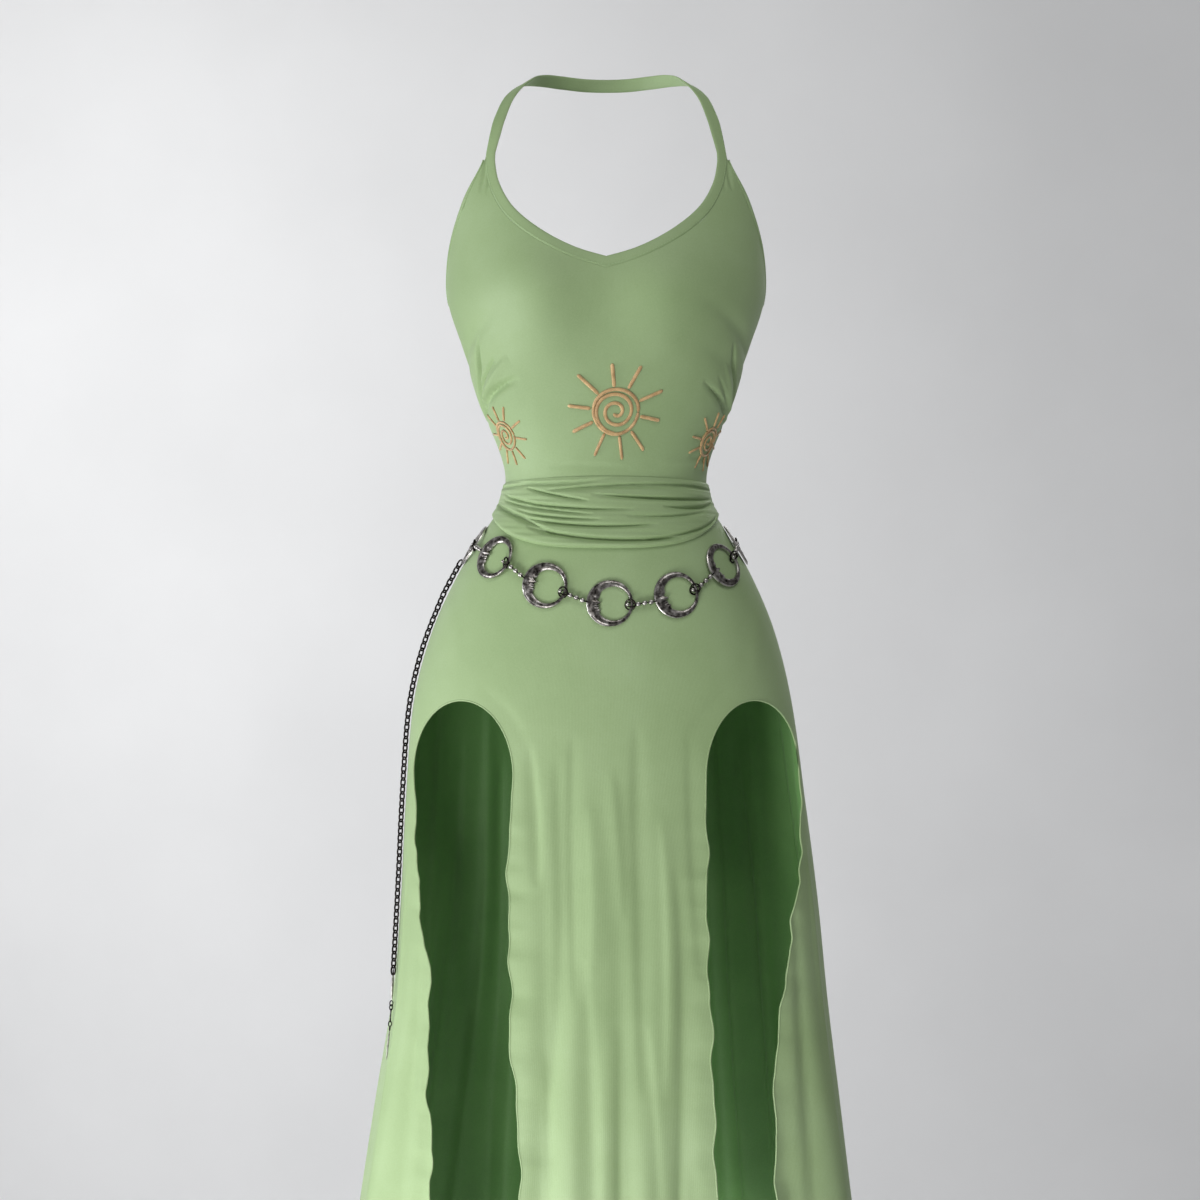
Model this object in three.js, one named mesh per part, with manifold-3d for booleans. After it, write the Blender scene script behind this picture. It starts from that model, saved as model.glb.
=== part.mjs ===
// A halter midi dress in light jersey, filled out as it is when worn, with its chain belt of crescent rings.
// Millimetres, +Z up, front towards -Y. The origin is the nape of the halter strap, where the dress hangs.
import * as THREE from 'three';
import { mergeVertices } from 'three/addons/utils/BufferGeometryUtils.js';
import Module from 'manifold-3d';

const wasm = await Module();
wasm.setup();

// Driving dimensions
const CLOTH = 1.5;            // thickness of the jersey wall
const SEAM = 0.3;             // gap between pieces at a seam
const LIFT = 0.85;            // how far a piece that lies on the cloth stands off its outer face
const DRESS_LENGTH = 1150;    // nape to hem
const WAIST_SEAM = -386;      // height where bodice and skirt meet, under the waist wrap
const FULL = 0.12;            // how much squarer than an ellipse each section is
const NAPE_DEPTH = 50;        // nape behind the side seams
const HEM = -DRESS_LENGTH;

const radians = THREE.MathUtils.degToRad;
const clamp01 = (t) => THREE.MathUtils.clamp(t, 0, 1);
const ease = (t) => THREE.MathUtils.smoothstep(t, 0, 1);
const bell = (t) => Math.exp(-t * t);

// Sections of the worn dress: half width at the side seams, depth in front of them and behind them,
// and how far the section's middle sways to the right
const SECTIONS = [
  { z: -60, half: 130, front: 62, back: 74, sway: 0 },
  { z: -88, half: 134, front: 74, back: 80, sway: 0 },
  { z: -128, half: 139, front: 86, back: 86, sway: 0 },
  { z: -178, half: 142, front: 95, back: 87, sway: 0 },
  { z: -207, half: 140, front: 96, back: 84, sway: 0 },
  { z: -247, half: 127, front: 90, back: 77, sway: 0 },
  { z: -292, half: 114, front: 83, back: 71, sway: 0 },
  { z: -337, half: 95, front: 78, back: 67, sway: 0 },
  { z: -362, half: 89, front: 76, back: 66, sway: 0 },
  { z: -386, half: 92, front: 79, back: 71, sway: -0.3 },
  { z: -410, half: 106, front: 86, back: 81, sway: -0.7 },
  { z: -450, half: 130, front: 94, back: 96, sway: -1.4 },
  { z: -500, half: 152, front: 98, back: 110, sway: -2.4 },
  { z: -562, half: 168, front: 99, back: 115, sway: -3 },
  { z: -652, half: 178, front: 99, back: 117, sway: -0.5 },
  { z: -742, half: 186, front: 101, back: 122, sway: 3 },
  { z: -832, half: 194, front: 105, back: 130, sway: 4 },
  { z: -922, half: 206, front: 109, back: 138, sway: 3 },
  { z: -1160, half: 237, front: 119, back: 158, sway: 1 },
];

// Soft cups shaped by the cut: distance from the middle, height, reach and rise
const CUP = { across: 64, z: -212, wide: 46, tall: 52, rise: 15 };

// Drag folds of the bodice, from the side seam under the cup towards the middle
const DRAG_FOLDS = [
  { angle: 66, z: -238, slope: -0.9, length: 24, width: 8, depth: 2.8 },
  { angle: 58, z: -262, slope: -0.6, length: 18, width: 8, depth: 1.8 },
  { angle: -66, z: -240, slope: 0.9, length: 24, width: 8, depth: 3.0 },
  { angle: -58, z: -264, slope: 0.6, length: 18, width: 8, depth: 1.8 },
];

// Hanging folds of the skirt: angle at the hem (0 is the front, 90 the right side), sideways drift on
// the way down, height where the fold starts, width in degrees, and depth at the hem (a ridge is positive)
const SKIRT_FOLDS = [
  { angle: -15, drift: 3, z: -600, width: 3.0, depth: -8 },
  { angle: -7, drift: 2, z: -690, width: 3.4, depth: 5 },
  { angle: 3, drift: 1, z: -640, width: 2.6, depth: -6 },
  { angle: 9, drift: -1, z: -700, width: 3.0, depth: 5 },
  { angle: 16, drift: -2, z: -740, width: 2.4, depth: -6 },
  { angle: -52, drift: -5, z: -760, width: 5, depth: -8 },
  { angle: -70, drift: -3, z: -700, width: 6, depth: 9 },
  { angle: 50, drift: 5, z: -740, width: 5, depth: -8 },
  { angle: 68, drift: 3, z: -690, width: 6, depth: 9 },
  { angle: 98, drift: 0, z: -660, width: 7, depth: -9 },
  { angle: 116, drift: -2, z: -620, width: 7, depth: 12 },
  { angle: 134, drift: 2, z: -650, width: 7, depth: -11 },
  { angle: 152, drift: 0, z: -600, width: 7, depth: 13 },
  { angle: 170, drift: 1, z: -640, width: 7, depth: -12 },
  { angle: 188, drift: -1, z: -600, width: 7, depth: 12 },
  { angle: 206, drift: 0, z: -630, width: 7, depth: -12 },
  { angle: 225, drift: 2, z: -610, width: 7, depth: 13 },
  { angle: 243, drift: -2, z: -660, width: 7, depth: -10 },
  { angle: 260, drift: 0, z: -640, width: 7, depth: 10 },
];

// Seam lines of the bodice on the right side, from the strap root: angle in degrees and height
const NECK_SEAM = [
  { angle: 52.4, z: -80 },
  { angle: 51.4, z: -92 },
  { angle: 47.4, z: -112 },
  { angle: 38.8, z: -137 },
  { angle: 26, z: -160 },
  { angle: 12.5, z: -177 },
  { angle: 0, z: -186.5 },
];
const ARM_SEAM = [
  { angle: 52.4, z: -80 },
  { angle: 54.6, z: -92 },
  { angle: 59.3, z: -109 },
  { angle: 65, z: -128 },
  { angle: 71.4, z: -147 },
  { angle: 78.5, z: -168 },
  { angle: 84.5, z: -189 },
  { angle: 90, z: -207 },
];
const BACK_SEAM = [
  { angle: 90, z: -207 },
  { angle: 112, z: -215 },
  { angle: 146, z: -231 },
  { angle: 180, z: -238 },
];

// Halter strap from the strap root round the right of the neck to the nape: centre line and outward normal
const STRAP = [
  { x: 97.5, y: -45, z: -63, nx: 0.42, ny: -0.82, nz: 0.38 },
  { x: 93.2, y: -38, z: -46, nx: 0.42, ny: -0.76, nz: 0.5 },
  { x: 84.5, y: -26, z: -25, nx: 0.46, ny: -0.58, nz: 0.68 },
  { x: 71, y: -8, z: -10, nx: 0.6, ny: -0.25, nz: 0.76 },
  { x: 58, y: 14, z: -3, nx: 0.82, ny: 0.2, nz: 0.53 },
  { x: 40, y: 36, z: 0, nx: 0.7, ny: 0.7, nz: 0.2 },
  { x: 20, y: 47, z: 0, nx: 0.32, ny: 0.94, nz: 0.08 },
  { x: 0, y: 50, z: 0, nx: 0, ny: 1, nz: 0 },
];
const NECK_BAND = { width: 10, strap: 12, thick: 2.2 };
const ARM_BAND = { width: 5, thick: 1.9 };

// Steps along each seam line, shared by the panel and its binding so that they lie evenly apart
const STEPS = { neck: 8, arm: 8, back: 8, strap: 14 };

// Slits of the skirt: how far to the right of the middle each of their four edges is at each height
const SLITS = [
  { z: -625, outerLeft: -170, innerLeft: -80, innerRight: 86, outerRight: 171 },
  { z: -680, outerLeft: -167, innerLeft: -83, innerRight: 86, outerRight: 173 },
  { z: -742, outerLeft: -163, innerLeft: -85, innerRight: 87, outerRight: 166 },
  { z: -800, outerLeft: -155, innerLeft: -82, innerRight: 89, outerRight: 156 },
  { z: -860, outerLeft: -156, innerLeft: -81, innerRight: 90, outerRight: 150 },
  { z: -945, outerLeft: -155, innerLeft: -75, innerRight: 94, outerRight: 148 },
  { z: -1160, outerLeft: -153, innerLeft: -70, innerRight: 98, outerRight: 147 },
];
const ARCH = { z: -625, top: -560 };
const EDGE_WAVE = { pitch: 74, side: 1.8 };

// Waist wrap: heights of its top and bottom edges in front, at the sides and behind, and its folds
const WRAP = { gap: 1.2, frontTop: -365, sideTop: -368, frontEnd: -428, sideEnd: -399, backEnd: -404 };
const WRAP_FOLDS = [
  { left: -372, middle: -369, right: -366, from: -70, to: 30, depth: 1.6 },
  { left: -374, middle: -380, right: -374, from: -45, to: 80, depth: 2.2 },
  { left: -379, middle: -388, right: -380, from: -25, to: 85, depth: 1.8 },
  { left: -381, middle: -396, right: -385, from: -85, to: 40, depth: 1.7 },
  { left: -386, middle: -405, right: -389, from: -80, to: 78, depth: 2.0 },
  { left: -391, middle: -414, right: -393, from: -84, to: 84, depth: 2.3 },
  { left: -372, middle: -378, right: -374, from: 95, to: 262, depth: 1.8 },
  { left: -384, middle: -392, right: -386, from: 100, to: 258, depth: 2.0 },
];

// Corded sun motifs: angle and height of the middle, and size against the front one
const SUNS = [
  { name: 'sun_centre', angle: 4.5, z: -309, size: 1 },
  { name: 'sun_left', angle: -62, z: -327, size: 0.63 },
  { name: 'sun_right', angle: 67, z: -332, size: 0.63 },
];
const SUN = { radius: 19.4, turns: 2.15, start: 216, rays: 10, rayIn: 18.6, rayOut: 43, cord: 3.2, rise: 1.3 };

// Chain belt: its rings and links, and its height round the hips (the angle is 0 in front)
const BELT = { rings: 12, start: 2, outer: 20.2, hole: 14.4, offset: 3.2, thick: 1.8 };
const BEAD = { radius: 1.9, neck: 0.8, count: 3 };
const BELT_LINE = [
  { angle: -180, z: -436 },
  { angle: -130, z: -431 },
  { angle: -85, z: -425 },
  { angle: -50, z: -436.5 },
  { angle: -23, z: -459.5 },
  { angle: 2, z: -475.5 },
  { angle: 27, z: -468 },
  { angle: 52, z: -444.5 },
  { angle: 85, z: -425 },
  { angle: 130, z: -431 },
  { angle: 180, z: -436 },
];

// The belt's free end: a chain that hangs down the left side
const CHAIN = { radius: 2.7, waist: 1.9, step: 8.5, sides: 5 };
const CHAIN_LINE = [
  { angle: -87, z: -441.6 },
  { angle: -87.5, z: -455 },
  { angle: -87, z: -475 },
  { angle: -86, z: -520 },
  { angle: -86, z: -570 },
  { angle: -85.5, z: -640 },
  { angle: -84.5, z: -720 },
  { angle: -81.5, z: -800 },
  { angle: -77, z: -848 },
  { angle: -73.5, z: -880 },
];

// Materials
const jersey = new THREE.MeshStandardMaterial({ color: 0x93ad7c, roughness: 0.85, metalness: 0 });
const thread = new THREE.MeshStandardMaterial({ color: 0xb98a55, roughness: 0.6, metalness: 0 });
const pewter = new THREE.MeshStandardMaterial({ color: 0x7d7a76, roughness: 0.35, metalness: 1 });

// A smooth value between the rows of a table, which is sorted one way or the other by one of its columns
function valueAt(table, key, at, by = 'z') {
  const last = table.length - 1;
  const way = Math.sign(table[last][by] - table[0][by]);
  const found = table.findIndex((row) => (row[by] - at) * way >= 0);
  const i = found < 0 ? last : Math.max(found, 1);
  const slope = (k) => {
    const a = table[Math.max(k - 1, 0)];
    const b = table[Math.min(k + 1, last)];
    return (b[key] - a[key]) / (b[by] - a[by]);
  };
  const [p, q] = [table[i - 1], table[i]];
  const span = q[by] - p[by];
  const t = clamp01((at - p[by]) / span);
  const rise = (1 + 2 * t) * (1 - t) ** 2 * p[key] + t * t * (3 - 2 * t) * q[key];
  return rise + span * (t * (1 - t) ** 2 * slope(i - 1) - t * t * (1 - t) * slope(i));
}

// Shortest way round from one angle to another, in degrees
const turnBetween = (a, b) => ((a - b + 540) % 360) - 180;

// How far the folds move the cloth outwards
function foldShift(degrees, z) {
  let shift = 0;
  for (const fold of SKIRT_FOLDS) {
    const down = clamp01((z - fold.z) / (HEM - fold.z));
    if (z > fold.z) continue;
    const away = turnBetween(degrees, fold.angle - fold.drift * (1 - down));
    shift += fold.depth * ease(down) * bell(away / fold.width);
  }
  for (const fold of DRAG_FOLDS) {
    const along = turnBetween(degrees, fold.angle);
    const across = z - fold.z - fold.slope * along;
    shift -= fold.depth * bell(along / fold.length) * bell(across / fold.width);
  }
  return shift;
}

// A point of the body-side face of the cloth, at an angle round the dress and a height
function formPoint(degrees, z) {
  const a = radians(degrees);
  const [s, c] = [Math.sin(a), Math.cos(a)];
  const half = valueAt(SECTIONS, 'half', z) + foldShift(degrees, z);
  const depth = valueAt(SECTIONS, c > 0 ? 'front' : 'back', z) + foldShift(degrees, z);
  const x = half * s + valueAt(SECTIONS, 'sway', z);
  let y = -depth * c * (1 + FULL * s * s);
  if (c > 0) {
    const reach = bell((z - CUP.z) / CUP.tall) * ease(c * 3);
    y -= CUP.rise * reach * (bell((x - CUP.across) / CUP.wide) + bell((x + CUP.across) / CUP.wide));
  }
  return new THREE.Vector3(x, y, z);
}

// The outward normal of the cloth there
function formNormal(degrees, z) {
  const [da, dz] = [1.2, 2.5];
  const round = formPoint(degrees + da, z).sub(formPoint(degrees - da, z));
  const up = formPoint(degrees, z + dz).sub(formPoint(degrees, z - dz));
  return round.cross(up).normalize();
}

const offsetPoint = (degrees, z, out) =>
  formPoint(degrees, z).addScaledVector(formNormal(degrees, z), out);

// The angle of the point of the front that is that far to the right, at a height
function angleAcross(x, z) {
  const share = (x - valueAt(SECTIONS, 'sway', z)) / valueAt(SECTIONS, 'half', z);
  return THREE.MathUtils.radToDeg(Math.asin(THREE.MathUtils.clamp(share, -1, 1)));
}

// The small angle that leaves half a seam's gap beside a side seam
const seamAngle = (z) =>
  THREE.MathUtils.radToDeg(SEAM / 2 / (valueAt(SECTIONS, 'front', z) * (1 + FULL)));

// A closed geometry from a list of points and a list of triangles
function meshFrom(points, triangles) {
  const geometry = new THREE.BufferGeometry();
  geometry.setAttribute('position', new THREE.Float32BufferAttribute(points.flatMap((p) => p.toArray()), 3));
  geometry.setIndex(triangles.flat());
  geometry.computeVertexNormals();
  return geometry;
}

// A cloth wall over a grid that runs down and round: two skins, joined by a rim along every open edge.
// pairAt gives the outer and inner points of a grid node, and isCut tells which cells are left out.
function wall(rows, columns, pairAt, { isCut = () => false, closed = false } = {}) {
  const points = [];
  const known = new Map();
  const node = (i, j) => {
    const key = i * 1000 + (closed ? j % columns : j);
    if (!known.has(key)) {
      known.set(key, points.length);
      points.push(...pairAt(i, closed ? j % columns : j));
    }
    return known.get(key);
  };
  const triangles = [];
  const edges = new Map();
  for (let i = 0; i < rows; i++) {
    for (let j = 0; j < columns; j++) {
      if (isCut(i, j)) continue;
      const ring = [node(i, j), node(i + 1, j), node(i + 1, j + 1), node(i, j + 1)];
      const [a, b, c, d] = ring;
      triangles.push([a, b, c], [a, c, d], [c + 1, b + 1, a + 1], [d + 1, c + 1, a + 1]);
      ring.forEach((p, k) => edges.set(`${p},${ring[(k + 1) % 4]}`, [p, ring[(k + 1) % 4]]));
    }
  }
  for (const [p, q] of edges.values()) {
    if (edges.has(`${q},${p}`)) continue;
    triangles.push([q, p, p + 1], [q, p + 1, q + 1]);
  }
  return meshFrom(points, triangles);
}

// A wall on the form: each grid node is an angle and a height
const panel = (rows, columns, placeAt, options) =>
  wall(rows, columns, (i, j) => {
    const [degrees, z] = placeAt(i, j);
    return [offsetPoint(degrees, z, CLOTH), formPoint(degrees, z)];
  }, options);

// A smooth line through the rows of a seam table, as evenly spaced [angle, height] places
function seamLine(table, steps) {
  const perDegree = 2.2;
  const curve = new THREE.SplineCurve(table.map((row) => new THREE.Vector2(row.angle * perDegree, row.z)));
  return curve.getSpacedPoints(steps).map((p) => [p.x / perDegree, p.y]);
}

const mirrored = (line) => line.map(([degrees, z]) => [-degrees, z]);

// Keeps an edge column half a gap clear of the side seam at +90 or -90 degrees
function keepSeam(degrees, z, backwards = false) {
  const limit = 90 + (backwards ? 1 : -1) * seamAngle(z);
  return backwards ? THREE.MathUtils.clamp(degrees, limit, 360 - limit) : THREE.MathUtils.clamp(degrees, -limit, limit);
}

// Front bodice: from the waist seam up to the armhole seams, the strap roots and the neckline seam
function bodiceFront() {
  const rows = 15;
  const neck = seamLine(NECK_SEAM, STEPS.neck).slice(1).reverse();
  const right = [...neck, ...seamLine(ARM_SEAM, STEPS.arm)];
  const top = [...mirrored(right).reverse(), ...right.slice(1)];
  const columns = top.length - 1;
  return panel(rows, columns, (i, j) => {
    const t = (i / rows) ** 0.95;
    const bottom = THREE.MathUtils.lerp(-90, 90, j / columns);
    const z = THREE.MathUtils.lerp(top[j][1], WAIST_SEAM + SEAM, t);
    const degrees = THREE.MathUtils.lerp(top[j][0], bottom, ease(t));
    return [keepSeam(degrees, z), z];
  });
}

// Back bodice: low, from the waist seam up to the back seam
function bodiceBack() {
  const [rows, columns] = [8, 2 * STEPS.back];
  const right = seamLine(BACK_SEAM, STEPS.back);
  const left = right.slice(0, -1).map(([degrees, z]) => [360 - degrees, z]).reverse();
  const top = [...right, ...left];
  return panel(rows, columns, (i, j) => {
    const z = THREE.MathUtils.lerp(top[j][1], WAIST_SEAM + SEAM, i / rows);
    const even = THREE.MathUtils.lerp(90, 270, j / columns);
    return [keepSeam(THREE.MathUtils.lerp(top[j][0], even, ease(i / rows)), z, true), z];
  });
}

// A closed ribbon swept through stations, each an edge point, a direction across it and its normal
function ribbon(stations, { closed = false } = {}) {
  const points = [];
  for (const { edge, across, normal, width, thick } of stations) {
    const round = thick * 0.35;
    const section = [[0, 0], [width - round, 0], [width, thick / 2], [width - round, thick], [0, thick]];
    for (const [u, v] of section) {
      points.push(edge.clone().addScaledVector(across, u).addScaledVector(normal, v));
    }
  }
  const sides = 5;
  const count = stations.length;
  const triangles = [];
  for (let i = 0; i < (closed ? count : count - 1); i++) {
    for (let k = 0; k < sides; k++) {
      const a = i * sides + k;
      const b = i * sides + ((k + 1) % sides);
      const [c, d] = [((i + 1) % count) * sides + ((k + 1) % sides), ((i + 1) % count) * sides + k];
      triangles.push([a, b, c], [a, c, d]);
    }
  }
  if (!closed) {
    const end = (count - 1) * sides;
    for (let k = 1; k < sides - 1; k++) {
      triangles.push([0, k + 1, k], [end, end + k, end + k + 1]);
    }
  }
  return facingOut(meshFrom(points, triangles));
}

// Turns a geometry's triangles over if they face inwards
function facingOut(geometry) {
  const p = geometry.getAttribute('position');
  const index = geometry.getIndex();
  const [a, b, c] = [new THREE.Vector3(), new THREE.Vector3(), new THREE.Vector3()];
  let volume = 0;
  for (let i = 0; i < index.count; i += 3) {
    a.fromBufferAttribute(p, index.getX(i));
    b.fromBufferAttribute(p, index.getX(i + 1));
    c.fromBufferAttribute(p, index.getX(i + 2));
    volume += a.dot(b.cross(c));
  }
  if (volume < 0) {
    for (let i = 0; i < index.count; i += 3) {
      const first = index.getX(i);
      index.setX(i, index.getX(i + 1));
      index.setX(i + 1, first);
    }
  }
  geometry.computeVertexNormals();
  return geometry;
}

// Stations of a binding that continues the cloth past a seam line, on the side away from the panel
function bindingStations(line, band) {
  const on = (k) => formPoint(...line[THREE.MathUtils.clamp(k, 0, line.length - 1)]);
  return line.map(([degrees, z], k) => {
    const along = on(k + 1).sub(on(k - 1)).normalize();
    const normal = formNormal(degrees, z);
    const across = normal.clone().cross(along).normalize();
    const edge = formPoint(degrees, z).addScaledVector(across, SEAM).addScaledVector(normal, (CLOTH - band.thick) / 2);
    return { edge, across, normal, width: band.width - SEAM, thick: band.thick };
  });
}

// Neckline binding that runs on as the halter strap, one closed loop
function halterBinding() {
  const neck = bindingStations(seamLine(NECK_SEAM, STEPS.neck).reverse(), NECK_BAND);
  const root = neck.at(-1);
  const rootCentre = root.edge.clone().addScaledVector(root.across, root.width / 2);
  const path = new THREE.CatmullRomCurve3([rootCentre, ...STRAP.map((s) => new THREE.Vector3(s.x, s.y, s.z))]);
  const normals = [root.normal, ...STRAP.map((s) => new THREE.Vector3(s.nx, s.ny, s.nz).normalize())];
  const strap = [];
  for (let i = 1; i <= STEPS.strap; i++) {
    const u = (i / STEPS.strap) * STRAP.length;
    const k = Math.min(Math.floor(u), STRAP.length - 1);
    const normal = normals[k].clone().lerp(normals[k + 1], u - k).normalize();
    const along = i < STEPS.strap ? path.getTangent(i / STEPS.strap) : new THREE.Vector3(-1, 0, 0);
    const across = normal.clone().cross(along).normalize();
    const width = THREE.MathUtils.lerp(NECK_BAND.width, NECK_BAND.strap, ease(u / 2));
    const edge = path.getPoint(i / STEPS.strap).addScaledVector(across, -width / 2);
    strap.push({ edge, across, normal, width, thick: NECK_BAND.thick });
  }
  const half = [...neck, ...strap];
  const flipX = (v) => new THREE.Vector3(-v.x, v.y, v.z);
  const other = half.slice(1, -1).reverse().map((s) => (
    { ...s, edge: flipX(s.edge), across: flipX(s.across), normal: flipX(s.normal) }));
  return ribbon([...half, ...other], { closed: true });
}

// Narrow binding of both armholes and the back edge, in one strip
function backBinding() {
  const right = seamLine(ARM_SEAM, STEPS.arm).slice(1);
  const back = seamLine(BACK_SEAM, STEPS.back).slice(1);
  const half = [...right, ...back];
  const other = half.slice(0, -1).map(([degrees, z]) => [360 - degrees, z]).reverse();
  const stations = bindingStations([...half, ...other], ARM_BAND);

  // Narrower towards each tip, where it runs out beside the strap
  [0.35, 0.8].forEach((share, k) => {
    for (const station of [stations[k], stations.at(-1 - k)]) station.width *= share;
  });
  return ribbon(stations);
}

// Sideways and outward wave of a slit's edge
const edgeWave = (z, phase) => Math.sin((z / EDGE_WAVE.pitch) * 2 * Math.PI + phase);

// Skirt front: one panel, cut by two arched slits into a middle tail and two side strips
function skirtFront() {
  const [strip, arch, tail] = [3, 7, 11];
  const [above, below] = [9, 14];
  const columns = 2 * (strip + arch) + tail;
  const marks = [strip, strip + arch, strip + arch + tail, columns - strip];
  const isArch = (j) => (j >= marks[0] && j < marks[1]) || (j >= marks[2] && j < marks[3]);

  // Where column j stands along the line of the arches' feet or below it
  function footPlace(j, z) {
    const fade = EDGE_WAVE.side * ease((ARCH.z - z) / 60);
    const edges = ['outerLeft', 'innerLeft', 'innerRight', 'outerRight'].map((edge, phase) =>
      angleAcross(valueAt(SLITS, edge, z) + fade * edgeWave(z, 1.9 * phase), z));
    const stops = [-90, ...edges, 90];
    const at = [0, ...marks, columns];
    let k = at.findIndex((mark) => mark >= j);
    k = Math.max(k, 1);
    return THREE.MathUtils.lerp(stops[k - 1], stops[k], (j - at[k - 1]) / (at[k] - at[k - 1]));
  }

  // The lower end of the cloth above the feet: the feet's line, or the arch
  function upperEnd(j) {
    const left = j < columns / 2;
    const k = j - marks[left ? 0 : 2];
    if (k <= 0 || k >= arch) return [footPlace(j, ARCH.z), ARCH.z];
    const [from, to] = left ? ['outerLeft', 'innerLeft'] : ['innerRight', 'outerRight'];
    const [start, end] = [valueAt(SLITS, from, ARCH.z), valueAt(SLITS, to, ARCH.z)];
    const turn = (Math.PI * k) / arch;
    const z = ARCH.z + (ARCH.top - ARCH.z) * Math.sin(turn);
    return [angleAcross((start + end) / 2 - ((end - start) / 2) * Math.cos(turn), z), z];
  }

  return panel(above + below, columns, (i, j) => {
    let place;
    if (i <= above) {
      const t = i / above;
      const [degrees, z] = upperEnd(j);
      const even = THREE.MathUtils.lerp(-90, 90, j / columns);
      place = [THREE.MathUtils.lerp(even, degrees, ease(t)), THREE.MathUtils.lerp(WAIST_SEAM - SEAM, z, t ** 1.3)];
    } else {
      const z = THREE.MathUtils.lerp(ARCH.z, HEM, (i - above) / below);
      place = [footPlace(j, z), z];
    }
    return [keepSeam(place[0], place[1]), place[1]];
  }, { isCut: (i, j) => i >= above && isArch(j) });
}

// Skirt back: one panel from side seam to side seam, falling in soft folds
function skirtBack() {
  const [rows, columns] = [18, 24];
  return panel(rows, columns, (i, j) => {
    const z = THREE.MathUtils.lerp(WAIST_SEAM - SEAM, HEM, (i / rows) ** 1.4);
    return [keepSeam(THREE.MathUtils.lerp(90, 270, j / columns), z, true), z];
  });
}

// Share of the way from the front to the side, 0 to 1, and from the side to the back
const sideShare = (degrees) => Math.sin(radians(degrees)) ** 2;
const isFront = (degrees) => Math.cos(radians(degrees)) > 0;

function wrapEdges(degrees) {
  const side = sideShare(degrees);
  const end = isFront(degrees) ? WRAP.frontEnd : WRAP.backEnd;
  const sharp = side ** 1.6;
  return [
    THREE.MathUtils.lerp(WRAP.frontTop, WRAP.sideTop, side),
    THREE.MathUtils.lerp(end, WRAP.sideEnd, sharp),
  ];
}

// Depth of the wrap's folds at a place
function wrapRelief(degrees, z) {
  const wide = 2.6;
  let relief = 0;
  for (const fold of WRAP_FOLDS) {
    const at = fold.to > 180 && degrees < 0 ? degrees + 360 : degrees;
    const share = (at - fold.from) / (fold.to - fold.from);
    if (share <= 0 || share >= 1) continue;
    const middle = 4 * share * (1 - share);
    const line = THREE.MathUtils.lerp(THREE.MathUtils.lerp(fold.left, fold.right, share), fold.middle, middle);
    relief += fold.depth * Math.min(1, middle * 1.8) * bell((z - line) / wide);
  }
  return relief;
}

// Ruched wrap round the waist, one closed band over the waist seam
function waistWrap() {
  const [rows, columns] = [10, 60];
  const inner = CLOTH + WRAP.gap;
  return wall(rows, columns, (i, j) => {
    const degrees = THREE.MathUtils.lerp(-90, 270, j / columns);
    const [top, end] = wrapEdges(degrees);
    const t = i / rows;
    const z = THREE.MathUtils.lerp(top, end, t);
    const swell = 1.3 + 2.4 * ease(t * 2.2) * (isFront(degrees) ? 1 : 0.7);
    const out = inner + Math.max(1.1, swell + 0.6 - wrapRelief(degrees, z));
    return [offsetPoint(degrees, z, out), offsetPoint(degrees, z, inner)];
  }, { closed: true });
}

// Solids of manifold-3d from closed geometries, and back
function solid(geometry) {
  const bare = geometry.clone();
  bare.deleteAttribute('normal');
  bare.deleteAttribute('uv');
  const merged = mergeVertices(bare, 1e-5);
  return new wasm.Manifold(new wasm.Mesh({
    numProp: 3,
    vertProperties: new Float32Array(merged.getAttribute('position').array),
    triVerts: new Uint32Array(merged.getIndex().array),
  }));
}

function joined(geometries) {
  const made = geometries.map(solid).reduce((all, next) => all.add(next)).getMesh();
  const geometry = new THREE.BufferGeometry();
  geometry.setAttribute('position', new THREE.Float32BufferAttribute(made.vertProperties, 3));
  geometry.setIndex([...made.triVerts]);
  geometry.computeVertexNormals();
  return geometry;
}

// A raised cord along a line of local [u, v] places on the cloth, flat underneath
function cordOnCloth(line, placeAt, width, rise) {
  const lifted = (place, out) => offsetPoint(...placeAt(place), CLOTH + LIFT + out);
  const points = [];
  line.forEach((place, k) => {
    const before = line[Math.max(k - 1, 0)];
    const after = line[Math.min(k + 1, line.length - 1)];
    const along = new THREE.Vector2(after[0] - before[0], after[1] - before[1]).normalize();
    const side = (u) => [place[0] - along.y * u, place[1] + along.x * u];
    points.push(lifted(side(-width / 2), 0), lifted(side(width / 2), 0));
    points.push(lifted(side(width * 0.28), rise), lifted(side(-width * 0.28), rise));
  });
  const triangles = [];
  const end = (line.length - 1) * 4;
  for (let i = 0; i < line.length - 1; i++) {
    for (let k = 0; k < 4; k++) {
      const [a, b] = [i * 4 + k, i * 4 + ((k + 1) % 4)];
      triangles.push([a, b, b + 4], [a, b + 4, a + 4]);
    }
  }
  triangles.push([0, 2, 1], [0, 3, 2], [end, end + 1, end + 2], [end, end + 2, end + 3]);
  return facingOut(meshFrom(points, triangles));
}

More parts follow.
